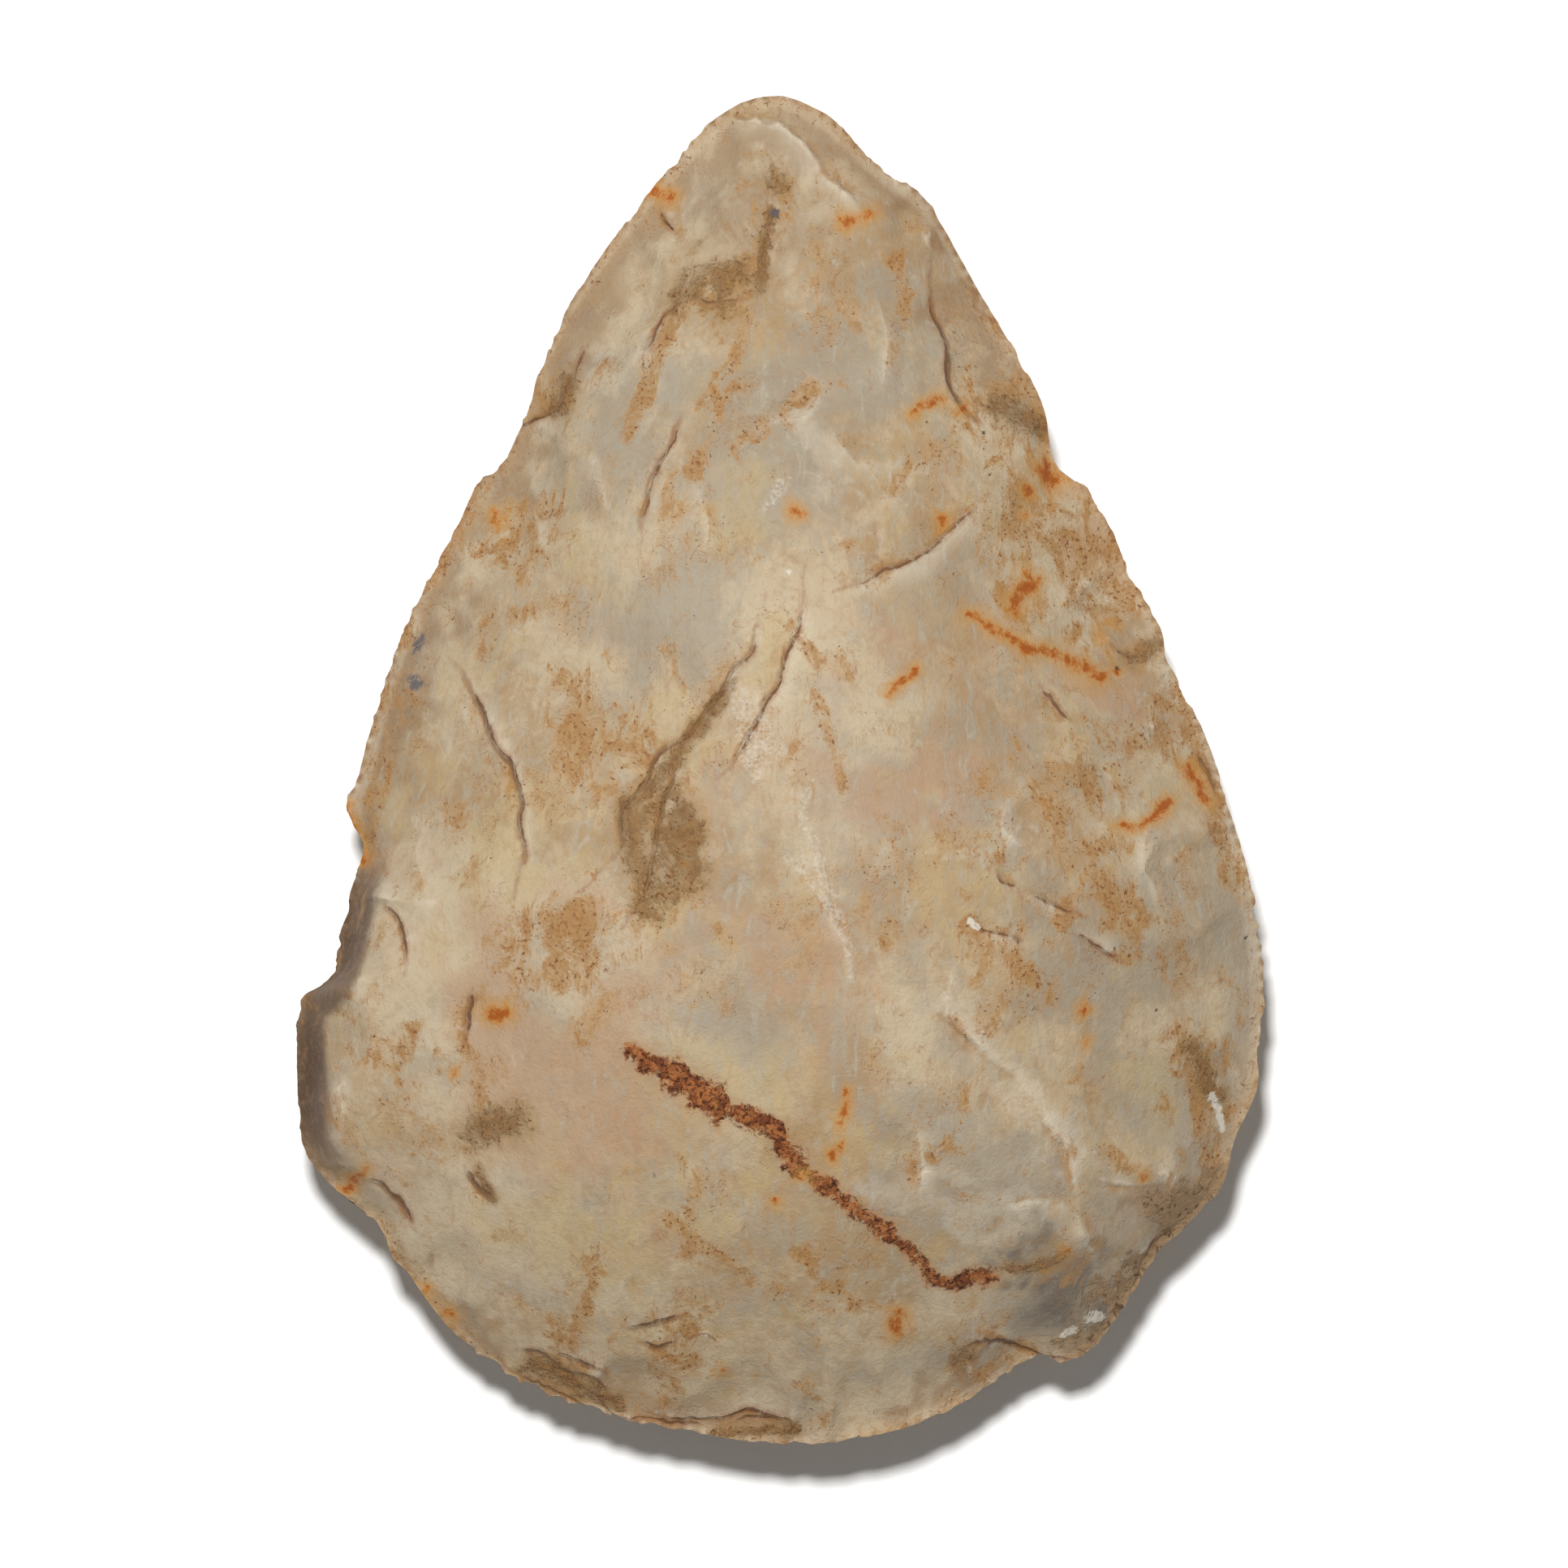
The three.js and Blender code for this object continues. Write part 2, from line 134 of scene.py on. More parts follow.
def through(places, closed, steps):
    """A smooth curve through the places, as points: a centripetal Catmull-Rom curve."""
    known = [np.asarray(p, float) for p in places]
    count = len(known)
    if closed:
        known = [known[-1]] + known + known[:2]
    else:
        known = [2 * known[0] - known[1]] + known + [2 * known[-1] - known[-2]]
        count -= 1
    points = []
    for before, start, end, after in list(zip(known, known[1:], known[2:], known[3:]))[:count]:
        stretches = ((before, start), (start, end), (end, after))
        gaps = [max(np.linalg.norm(b - a) ** 0.5, 1e-6) for a, b in stretches]
        leave = (start - before) / gaps[0] - (end - before) / (gaps[0] + gaps[1]) + (end - start) / gaps[1]
        arrive = (end - start) / gaps[1] - (after - start) / (gaps[1] + gaps[2]) + (after - end) / gaps[2]
        for t in np.arange(steps) / steps:
            ease = t * t * (3 - 2 * t)
            pull = t * (1 - t) * gaps[1]
            points.append(start + (end - start) * ease + pull * ((1 - t) * leave - t * arrive))
    return np.array(points if closed else points + [known[-2]])


def even_steps(points, count):
    """The same closed curve in equal steps."""
    around = np.vstack([points, points[:1]])
    travelled = np.concatenate([[0], np.cumsum(np.hypot(*np.diff(around, axis=0).T))])
    wanted = np.arange(count) / count * travelled[-1]
    return np.column_stack([np.interp(wanted, travelled, around[:, axis]) for axis in (0, 1)]), travelled[-1]


rim, rim_length = even_steps(through([place(p) for p in OUTLINE], True, CURVE_STEPS), RIM_STEPS)
print(f"the edge is {rim_length * 1000:.0f} mm round")


def along_rim(share):
    at = (np.asarray(share) % 1) * RIM_STEPS
    step = np.floor(at).astype(int) % RIM_STEPS
    part = (at - np.floor(at))[..., None]
    return rim[step] * (1 - part) + rim[(step + 1) % RIM_STEPS] * part


# %% [markdown]
# ## The dome behind the scars
# Each face falls off from the middle to the edge. If the fall followed every notch of the outline,
# the notches would run in to the middle as creases. So the dome follows a plain egg, made of the
# outline's few longest waves, and turns into the true outline only near the edge.

# %% The plain egg
EGG_HARMONICS = 5
EGG_BLEND = 6  # the power by which the plain egg turns into the true outline at the edge
from_centre = rim - CENTRE
rim_distance = np.hypot(*from_centre.T)
rim_angle = np.unwrap(np.arctan2(from_centre[:, 0], from_centre[:, 1]))
swept = np.gradient(np.concatenate([[rim_angle[-1] - TURN], rim_angle, [rim_angle[0] + TURN]]))[1:-1]
EGG = [
    ((rim_distance * swept * np.cos(n * rim_angle)).sum() * share,
     (rim_distance * swept * np.sin(n * rim_angle)).sum() * share)
    for n, share in [(0, 1 / TURN)] + [(n, 2 / TURN) for n in range(1, EGG_HARMONICS + 1)]
]
print("mean radius of the egg:", round(EGG[0][0] * 1000, 1), "mm")


def egg_radius(angle):
    return sum(cosine * np.cos(n * angle) + sine * np.sin(n * angle) for n, (cosine, sine) in enumerate(EGG))


# %% [markdown]
# ## Flake scars
# A flake leaves a shallow bowl that opens at the point of the blow and runs out towards the middle.
# Where bowls overlap the deeper one shows, and that makes the sharp ridges between scars. Bending
# the coordinates a little first makes the ridges wander, as they do in real stone. Faint ripples
# run across each bowl, round the point of the blow.

# %% Flakes struck off the upper face: start, end, half width and depth
UPPER_FLAKES = [
    ((13.6, 46.3), (6.1, 43), 5, 6), ((-14, 43), (-1, 37.2), 5, 3), ((-20.7, 36.3), (-4.8, 32.4), 4, 3),
    ((19.1, 37.2), (4, 33), 5, 2.5), ((25.8, 30), (16.6, 31.8), 5, 5.5),
    ((35.4, 16.2), (18.2, 14.4), 5.5, 3.5), ((40, 7.2), (22.4, 4.8), 5, 2.8),
    ((44.6, -0.1), (24.5, -4), 4.2, 4.5), ((49.4, -9.1), (37.9, -6.7), 4.5, 4.5),
    ((50.1, -18.1), (30.8, -15.1), 5, 3), ((47.6, -27.1), (27.5, -22.9), 5, 3.5),
    ((44.6, -32.6), (30, -31.3), 4, 4), ((32.5, -42.8), (24.1, -33.2), 6.5, 3),
    ((15.7, -50), (13.2, -31.9), 8, 2), ((-5.2, -51), (-6.1, -33), 9, 2),
    ((-30.8, -46), (-14, -29), 8.5, 2.2), ((-40.4, -35.6), (-26.2, -28.9), 5.5, 2),
    ((-47.5, -14.5), (-28.7, -12.1), 5.5, 2.5),
    ((-44.4, -2.2), (-25.7, -1), 8.5, 5), ((-40.4, 8.4), (-19.5, 9.6), 5, 3),
    ((-33.7, 17.4), (-18.2, 18.6), 5, 4), ((-26.6, 26.4), (-20.1, 28.8), 2.8, 5.5),
    ((-24.9, 29.4), (-8.6, 25.2), 5, 3), ((-30.4, 12.6), (-5.2, 1.1), 7, 2), ((40, 5.4), (7.3, -3.1), 7, 2),
    ((-47.1, -22.9), (-5.2, -24.7), 8.5, 1.5), ((48.8, -23.5), (9, -17.5), 8, 2),
]

# %% Flakes struck all round: how many, length, half width, depth, how much sizes differ, and seed
UNDERSIDE_FLAKES = (13, 24, 8.5, 7, 0.25, 200)
UNDERSIDE_RETOUCH = (46, 6, 2.8, 5, 0.6, 300)
UPPER_RETOUCH = (70, 4.2, 1.8, 5, 0.8, 100)
FINE_RETOUCH = (170, 1.5, 0.75, 2.5, 0.7, 400)
SLIP = 0.8  # share of the spacing by which a flake may slip along the edge
WIDEST = 0.35  # share of a flake's length at which it is widest
OPEN_END = 0.6  # how far past its striking point a flake's bowl would go on
SOFTNESS = 1.35  # over 1, a bowl meets the face round it without a crease
CRISP = 0.7  # the same for short flakes, which end in a little step
SHORT = 9  # reach below which a flake counts as short
FAR_END = 0.5  # share of a flake's depth that is lost by its far end
WANDER = 0.8  # reach by which the ridges between scars wander
WANDER_ACROSS = [(3.3, 3.1, 1, 1), (-6.3, 7.4, 2, 0.6)]  # waves across, along, start and share
WANDER_ALONG = [(-2.6, 4.1, 3, 1), (5.7, 6.9, 5, 0.6)]
RIPPLE = 0.02 * MM
RIPPLE_SPACING = 2.6 * MM
RIPPLED = 12  # reach of a flake that has its full ripples


def flake(start, end, half_width, deep):
    run = end - start
    length = np.hypot(*run)
    return start, run / length, length, half_width, deep, (CRISP if length < reach(SHORT) else SOFTNESS)


def struck_flakes(count, long, half_wide, deep, spread, seed):
    scars = []
    for i in range(count):
        start = along_rim((i + SLIP * jitter(seed + i)) / count)
        size = 1 + spread * (2 * jitter(seed + i + 0.5) - 1)
        inward = (CENTRE - start) / np.hypot(*(CENTRE - start)) * reach(long) * size
        scars.append(flake(start, start + inward, reach(half_wide) * size, depth(deep) * size))
    return scars


def flake_depth(scar, x, y):
    start, way, length, half_width, deep, softness = scar
    dx = x - start[0]
    dy = y - start[1]
    along = (dx * way[0] + dy * way[1]) / length
    across = (dx * way[1] - dy * way[0]) / half_width
    beyond = np.where(along > WIDEST, (along - WIDEST) / (1 - WIDEST), (WIDEST - along) / (WIDEST + OPEN_END))
    bowl = np.maximum(0, 1 - across * across - beyond * beyond)
    ripple = RIPPLE * np.sin(np.hypot(dx, dy) / RIPPLE_SPACING * TURN) * min(1, length / reach(RIPPLED))
    return (deep * (1 - FAR_END * smooth(along, WIDEST, 1)) + ripple) * bowl ** softness


def wander(waves, x, y):
    return reach(WANDER) * sum(
        share * np.sin(TURN * (across * x / WIDTH + along * y / LENGTH) + start)
        for across, along, start, share in waves
    )


def deepest(scars, x, y):
    at_x = x + wander(WANDER_ACROSS, x, y)
    at_y = y + wander(WANDER_ALONG, x, y)
    deep = np.zeros(x.shape)
    for scar in scars:
        deep = np.maximum(deep, flake_depth(scar, at_x, at_y))
    return deep


upper_scars = [flake(place(a), place(b), reach(w), depth(d)) for a, b, w, d in UPPER_FLAKES]
upper_scars += struck_flakes(*UPPER_RETOUCH) + struck_flakes(*FINE_RETOUCH)
underside_scars = struck_flakes(*UNDERSIDE_FLAKES) + struck_flakes(*UNDERSIDE_RETOUCH)
underside_scars += struck_flakes(*FINE_RETOUCH)
print(len(upper_scars), "scars on the upper face,", len(underside_scars), "on the underside")

# %% [markdown]
# ## Steps, folds and ridges
# Some flakes snapped off short and left a little cliff, which is the strongest line on such a face.
# A step is written as a line with a hollow side: the face drops at the line and rises back slowly.
# A fold is a step with a wide soft foot, and a crest is a low step with a pale border, rubbed and with a
# painted highlight. The mesh can be much finer than the solid, so here each step is deeper and has a narrower
# foot.

# %% Lines: kind, height or depth, rise of the hollow side, side of the hollow (1 is right), places
UPPER_LINES = [
    ("step", 1.6, 3, 1, [(-1.6, 43.1), (-0.9, 41), (-1.6, 38.3), (-2.4, 35.1)]),
    ("step", 1.2, 3, 1, [(-8.1, 34.5), (-10.7, 34.4), (-13.2, 32.1), (-14.7, 30.4)]),
    ("step", 2.6, 5, -1, [(15.4, 39.5), (15.4, 35.1), (16.9, 31.3), (17.3, 28.1), (19.9, 26.2),
                          (27.4, 25.3)]),
    ("fold", 2.4, 3.5, -1, [(-4.4, 24.4), (-1, 25.7), (2.3, 26.5), (3.8, 27.3), (3.1, 28.9), (0.5, 30)]),
    ("fold", 1.8, 4, -1, [(3.8, 26.5), (6.4, 23.8), (9, 22), (11, 20.3)]),
    ("step", 1.8, 4, 1, [(21.4, 20.3), (18.8, 18.7), (15.4, 16.3), (10.2, 14.7), (5.7, 13.1)]),
    ("step", 1.6, 4, 1, [(-10.4, 26.5), (-11.2, 24.4), (-12.8, 22), (-14.1, 19.5), (-14.4, 16.8)]),
    ("fold", 3.2, 4, 1, [(-20.3, 26.5), (-19.3, 23), (-18.4, 20.9), (-17.9, 19.3), (-18.2, 17.4)]),
    ("fold", 2.2, 3, 1, [(-26.8, 20.2), (-25.5, 19), (-24.9, 17.1), (-25.8, 15)]),
    ("step", 2.6, 3, 1, [(-20.6, 31), (-22, 28.4), (-22.9, 27.1), (-25.8, 26), (-28.5, 25)]),
    ("step", 3, 6, 1, [(-34.3, 8.5), (-32.6, 6.9), (-30.9, 4.5), (-29.6, 2.3), (-27.3, 0.2), (-26.5, -5.2),
                       (-27.5, -9.8)]),
    ("step", 2.8, 3.5, 1, [(-1.5, 12.8), (-2.3, 10.2), (-4.9, 6.9), (-9.7, 2.6), (-15, -1.7), (-16.4, -3.3),
                           (-16.1, -5.7), (-21.4, -8.9)]),
    ("step", 2.4, 3, 1, [(2.6, 15.2), (1.7, 10.7), (0.5, 8.2), (-1.2, 5.3), (-3.8, 2.1), (-6.5, -0.7)]),
    ("step", 2.2, 2.5, 1, [(-9.7, 1.6), (-11.7, -1.4), (-12.8, -4.6), (-13.3, -7.6), (-16.4, -11.9)]),
    ("step", 1.2, 3, 1, [(-41.4, -9.7), (-39.7, -10.8), (-39, -12.1), (-38.7, -15)]),
    ("fold", 2.8, 5, -1, [(28.1, 0.2), (25.1, -1), (23.5, -2.4), (23.4, -4.3), (25.1, -5.7), (31.7, -8.1)]),
    ("step", 1.4, 3, -1, [(20.9, -7.3), (23.9, -8.6), (27.5, -9.8), (31.7, -11)]),
    ("fold", 2, 4, -1, [(39.2, -3.1), (37.8, -4.6), (37.8, -7), (38.9, -9.1), (41.1, -11.6)]),
    ("crest", 1.4, 5, 1, [(19.4, -12.1), (17.9, -15.3), (17.7, -18.5), (20.2, -20.4), (24.3, -22.6),
                          (28, -26.1), (30.2, -29), (30.4, -31.9), (28, -32.7)]),
    ("crest", 1.4, 4, -1, [(30.4, -31.9), (32.1, -35.7), (34, -38.9)]),
    ("crest", 0.8, 3, -1, [(2.2, -1.9), (2.9, -4.8), (5.2, -10.8), (7, -13.7), (7.4, -15.9), (7, -18.7)]),
    ("crest", 2, 4, -1, [(-4.4, 48.4), (-0.7, 48.1), (3.2, 45.5), (6.8, 42.8), (10.5, 42.4)]),
    ("ridge", 1.6, 1.2, 1, [(-48.5, -16.5), (-47.9, -19.3), (-46.2, -22.6), (-45.2, -26.6), (-45, -30.4)]),
    ("ridge", 1, 1, 1, [(-42.5, -5.5), (-43, -10), (-44.8, -15)]),
    ("step", 5, 6, -1, [(45.3, -30.6), (41.4, -33.2), (37.9, -35.3), (36.5, -38.1), (34.3, -40.8)]),
    ("step", 3, 5, -1, [(31.1, -43.2), (28.6, -43.6), (25.3, -43), (21.9, -42.2), (19, -44.5)]),
    ("step", 2.2, 3, 1, [(-27, -42.8), (-25.7, -43), (-22.2, -44.5), (-19, -45.3), (-17.5, -46.4),
                         (-16.3, -47.5)]),
    ("step", 2.4, 3, 1, [(-14, -47.6), (-9, -48.3), (-3.5, -47.4), (1, -48.2)]),
]

# %% Smaller lines that only the fine mesh can show
FINE_LINES = [
    ("step", 1.6, 2, 1, [(19.9, 35.6), (20.3, 34.1), (22.5, 33)]),
    ("step", 0.9, 1.5, 1, [(-31.8, -16.1), (-32.3, -18.1), (-32.9, -20.2)]),
    ("step", 1.4, 1.2, 1, [(-32.7, -29.4), (-31.6, -30.4), (-30.4, -31.2), (-29.4, -31.8)]),
    ("step", 1.6, 2.5, 1, [(-44.7, -29.8), (-41.3, -30.4), (-39.4, -31.9), (-37.7, -34.1)]),
    ("step", 1, 1.5, -1, [(19, -11.1), (20.8, -11.8), (23.9, -12.3), (25, -13.4)]),
    ("step", 1, 1.5, 1, [(30.6, -12.1), (32.5, -13), (35.1, -14.1)]),
    ("fold", 1.4, 2, -1, [(38.9, 5.8), (38.5, 3.9), (38.5, 1.8)]),
    ("fold", 1.6, 3, -1, [(30.8, 15), (32, 11.7), (33.8, 9.3)]),
    ("step", 0.9, 1.5, 1, [(26.2, 6.4), (28.6, 4.6), (30.5, 3.5)]),
    ("step", 0.9, 1.2, 1, [(42.2, 1.7), (44.2, -0.1), (45.5, -2.3)]),
    ("step", 0.9, 1.2, 1, [(34.5, 9.1), (36, 8.8), (37.6, 8.4)]),
    ("fold", 2, 1.5, -1, [(41.4, -19.5), (42.5, -22.1), (45, -23.4), (45.6, -26.4), (45.3, -29.5)]),
    ("step", 1.2, 1.2, 1, [(-16.5, -41.2), (-12.8, -40.9), (-9.6, -40.3)]),
    ("step", 0.8, 1, 1, [(-14.7, -42.3), (-12.3, -42.5), (-10.4, -42.2)]),
    ("step", 1, 1, -1, [(-9.3, -42.2), (-7.6, -41.8), (-6.5, -42.5)]),
    ("crest", 0.6, 1, 1, [(-17.5, -39), (-16.5, -38), (-15, -37.3)]),
    ("step", 1.6, 1, 1, [(-28.3, -44.2), (-25.3, -45.5), (-22, -46.5), (-17.5, -47.7)]),
    ("step", 1.2, 1, 1, [(-24, -43), (-21, -43.7), (-18, -44.6)]),
    ("crest", 0.7, 1.5, -1, [(22.3, -32.3), (26.6, -32.2), (30.5, -32.5)]),
    ("step", 0.8, 1, 1, [(-9.9, 35.1), (-6.6, 34.7), (-3.7, 35)]),
    ("step", 1.4, 1.5, 1, [(-21.6, 28.2), (-21, 30), (-20.1, 31.2)]),
    ("fold", 1.2, 2, -1, [(-9.4, 22.5), (-7.5, 18), (-8.5, 14)]),
    ("fold", 1.4, 2.5, 1, [(12.5, -24.5), (14.5, -28.5), (13.5, -33)]),
    ("fold", 1.2, 2, 1, [(-36, 0), (-37.5, -6), (-36, -11)]),
    ("fold", 1.4, 2.5, -1, [(9.5, 36.5), (11, 31.5), (10, 27)]),
    ("crest", 0.8, 2, 1, [(30.4, -30.3), (35, -30.5), (40, -30.3), (43.7, -29.6)]),
    ("step", 1.6, 1.5, 1, [(-22, -45.2), (-19, -46.5), (-17.3, -47.9), (-13.6, -48.1), (-9.4, -48.6),
                           (-6.1, -48.6)]),
    ("step", 1.4, 1.2, 1, [(-6.9, -48.6), (-3.1, -47.9), (-0.2, -48), (1.6, -48.7), (0.5, -49.9)]),
    ("step", 1.4, 1.5, 1, [(18.6, -45.2), (18.2, -43.5), (19.6, -42.5), (21.1, -42.2), (22.9, -43)]),
    ("ridge", 1, 0.8, 1, [(19.1, -45.1), (20.4, -44), (21.1, -42.2)]),
    ("ridge", 0.7, 1.5, 1, [(-47.6, -19.9), (-38.7, -20.4), (-33.5, -20.4)]),
    ("ridge", 0.6, 1.5, 1, [(-30.4, 12), (-25.3, 9.9), (-18.6, 10.8)]),
    ("step", 0.8, 1.5, 1, [(-12.3, 41.7), (-10.9, 39.7)]),
]
LINE_FADE = 0.35  # share of a line at each end over which it dies away
LINE_STEPS = 8  # straight steps from one written place of a line to the next
LINE_FAR = 6  # a hollow has died out this many times its rise away from the line
FEET = {"step": 0.32, "crest": 0.5, "fold": 1.6}  # reach over which the face drops
DEEPER = 1.5  # how much deeper the fine mesh cuts a line than the plain solid does


def nearest(points, x, y):
    """Signed distance to a line, positive on its right, and the share of the way along it."""
    best = np.full(x.shape, np.inf)
    share = np.zeros(x.shape)
    for i, (a, b) in enumerate(zip(points, points[1:])):
        run = b - a
        part = np.clip(((x - a[0]) * run[0] + (y - a[1]) * run[1]) / (run @ run), 0, 1)
        away = np.hypot(x - a[0] - part * run[0], y - a[1] - part * run[1])
        right = (x - a[0]) * run[1] - (y - a[1]) * run[0]
        closer = away < np.abs(best)
        best = np.where(closer, np.where(right < 0, -away, away), best)
        share = np.where(closer, (i + part) / (len(points) - 1), share)
    return best, share


def written_line(row):
    kind, tall, rise, side, places = row
    tall = depth(tall) * (1 if kind == "ridge" else DEEPER)
    return kind, tall, reach(rise), side, through([place(p) for p in places], False, LINE_STEPS)


def line_depth(line, x, y):
    kind, tall, rise, side, points = line
    deep = np.zeros(x.shape)
    near = np.abs(x - points[:, 0].mean()) < np.ptp(points[:, 0]) / 2 + LINE_FAR * rise
    near &= np.abs(y - points[:, 1].mean()) < np.ptp(points[:, 1]) / 2 + LINE_FAR * rise
    distance, share = nearest(points, x[near], y[near])
    fade = smooth(np.minimum(share, 1 - share), 0, LINE_FADE)
    if kind == "ridge":
        deep[near] = -tall * fade * np.exp(-np.abs(distance) / rise)
        return deep
    into = distance * side
    foot = reach(FEET[kind])
    fall = smooth(into, 0, foot) * np.exp(-np.maximum(0, into - foot) / rise)
    deep[near] = np.where(into > 0, tall * fade * fall, 0)
    return deep


upper_lines = [written_line(row) for row in UPPER_LINES + FINE_LINES]
print(len(upper_lines), "lines on the upper face")

# %% [markdown]
# ## Both faces from one function
# A flat unit square is laid over the outline, so that one grid of points covers a whole face with
# no seam. For each point of the square the function gives its place on the stone and the height of
# both faces there. Carving is held back where the stone is thin, so it never cuts through the edge.
# The edge itself gets its fine scallops here, cut inwards only.

# %% The surface
# Stretches where the edge is broken off thick: place, reach and depth
THICK_EDGES = [((-49.6, -23.5), 8, 14), ((-45.3, -11.5), 6, 13), ((40, -36.2), 7.5, 10), ((11.5, 45), 4, 6)]
SHOULDER_WIDTH = 1.8  # reach over which a thick edge rises
FALL_OFF = 2.4  # the power by which the dome falls off to the edge
FALL_OFF_TURN = 0.55  # this much less at the tip and more at the butt
EDGE_WAVE = 4  # depth by which the edge waves up and down
EDGE_WAVE_FADE = 6
EDGE_WAVES = (5, 8, 13)  # waves in one turn round the edge
SCALLOP = 1.6 * MM  # how far in the deepest bite along the edge could go
SCALLOP_FADE = 1.6 * MM
CROWDING = 0.3  # how much closer the grid's rows lie at the edge than in the middle
CORNER_BREAK = ((40.5, -35.5), 6.5)  # the crumbling broken corner: place and reach
CRUMBLE = 0.35 * MM
CRUMBLE_FADE = 2.5  # reach from the edge inwards
SCARS_DEEPER = 1.3  # the fine mesh cuts the upper scars a little deeper than the solid does

# Noises added up: strength, size of the lumps and seed
UNEVEN = [(0.3 * MM, 17 * MM, 3), (0.45 * MM, 8 * MM, 5), (0.12 * MM, 2.8 * MM, 8)]
BITES = [(0.75, 2.6 * MM, 51), (0.25, 1 * MM, 52)]
CRUMBS = [(1, 1.3 * MM, 21), (1, 2.9 * MM, 22)]
SHAKE_ACROSS = [(0.7 * MM, 4 * MM, 31), (0.2 * MM, 1.1 * MM, 32)]
SHAKE_ALONG = [(0.7 * MM, 4 * MM, 33), (0.2 * MM, 1.1 * MM, 34)]

# Strengths that vary from place to place: middle, swing, least, size of the patches and seed
LINE_PATCHES = (0.75, 0.8, 0.25, 6 * MM, 12)
BITE_PATCHES = (0.5, 1.4, 0.1, 8 * MM, 53)

EYE_HEIGHT = 970 * MM  # from the worked edge up to the eye that read the places of lines and marks


def cloud(x, y, size, seed):
    """Soft noise from -1 to 1 with lumps of about the given size."""
    return np.array([noise.noise(Vector((a / size, b / size, seed))) for a, b in zip(x, y)])


def near_to(spot, span, x, y):
    centre = place(spot)
    return np.exp(-((x - centre[0]) ** 2 + (y - centre[1]) ** 2) / reach(span) ** 2)


def layered(x, y, layers):
    return sum(strength * cloud(x, y, size, seed) for strength, size, seed in layers)


def patchy(x, y, middle, swing, least, size, seed):
    return np.clip(middle + swing * cloud(x, y, size, seed), least, 1)


def shaken(x, y):
    """The same places, moved a little by noise, so that lines written with few points look broken."""
    return x + layered(x, y, SHAKE_ACROSS), y + layered(x, y, SHAKE_ALONG)


def as_seen(x, y, height):
    """Where a point seems to lie in a picture taken from above, where high points look wider apart."""
    wider = EYE_HEIGHT / (EYE_HEIGHT - height)
    return x * wider, y * wider


def kept(deep, tall):
    """Holds a depth back where the stone above or below the edge is thin."""
    tall = np.maximum(tall, 1e-9)
    return deep * tall / (tall + np.abs(deep))


def scallops(edge):
    """How far each point of the edge is cut in: little bites of uneven size, with teeth between."""
    bites = sum(strength * np.abs(cloud(*edge.T, size, seed)) for strength, size, seed in BITES)
    return SCALLOP * patchy(*edge.T, *BITE_PATCHES) * bites


def flint(u, v):
    """For points of the square: their places on the stone, and the height of both faces there."""
    disc_x = u * np.sqrt(1 - v * v / 2)
    disc_y = v * np.sqrt(1 - u * u / 2)
    grid_fraction = np.minimum(1, np.hypot(disc_x, disc_y))
    fraction = grid_fraction * (1 + CROWDING - CROWDING * grid_fraction)
    share = np.arctan2(disc_x, disc_y) / TURN
    edge = along_rim(share)
    whole = np.hypot(*(edge - CENTRE).T)
    inside = whole * (1 - fraction)
    x, y = (CENTRE + (edge - CENTRE) * fraction[:, None]).T
    angle = np.arctan2(edge[:, 0] - CENTRE[0], edge[:, 1] - CENTRE[1])
    egg = egg_radius(angle)
    outline = egg + (whole - egg) * fraction ** EGG_BLEND
    out = np.minimum(1, whole * fraction / outline)
    dome = 1 - out ** (FALL_OFF - FALL_OFF_TURN * np.cos(angle))
    wave = sum(np.sin(n * angle + n) for n in EDGE_WAVES) / len(EDGE_WAVES)
    margin = EDGE_HEIGHT + depth(EDGE_WAVE) * wave * np.exp(-inside / reach(EDGE_WAVE_FADE))
    lift = sum(depth(tall) * near_to(spot, span, x, y) for spot, span, tall in THICK_EDGES)
    lift = lift * (1 - np.exp(-(inside / reach(SHOULDER_WIDTH)) ** 2))
    upper_high = (THICKNESS - EDGE_HEIGHT) * dome + lift
    under_high = (EDGE_HEIGHT + REST_WEAR) * dome
    rough = layered(x, y, UNEVEN)
    broken = near_to(*CORNER_BREAK, x, y) * np.exp(-inside / reach(CRUMBLE_FADE))
    crumbs = CRUMBLE * broken * layered(x, y, CRUMBS)
    at_lines = shaken(*as_seen(x, y, upper_high))
    cut = deepest(upper_scars, x, y) * SCARS_DEEPER
    cut = cut + patchy(x, y, *LINE_PATCHES) * sum(line_depth(line, *at_lines) for line in upper_lines)
    cut = cut + np.maximum(rough, 0) + np.abs(crumbs)
    cut_below = deepest(underside_scars, x, y) + np.abs(rough)
    bite = scallops(edge) * np.exp(-inside / SCALLOP_FADE)
    x = x - (edge[:, 0] - CENTRE[0]) / whole * bite
    y = y - (edge[:, 1] - CENTRE[1]) / whole * bite
    top = margin + upper_high - kept(cut, upper_high)
    under = np.maximum(0, margin - under_high + kept(cut_below, under_high))
    return x, y, top, under


# %% [markdown]
# ## The mesh
# A bmesh grid gives the points of the square. It is fine enough for the bowls, but a cliff needs
# more, so the edges of the grid that lie close to a line are subdivided first, and only then is
# each point moved to its place on the stone. The underside has fewer marks and a coarser grid. Its
# border is subdivided until it has as many points as the upper one, and the two faces are merged.

# %% Grid, finer near the cliffs
UPPER_GRID = (160, 216)  # columns and rows
UNDER_GRID = (80, 108)
NEAR_LINE = 0.75 * MM  # closer to a line than this the grid is made finer
LINE_CUTS = 3
BORDER_CUTS = 1
BORDER = 1 - 1e-6  # a point further out than this lies on the border of the square


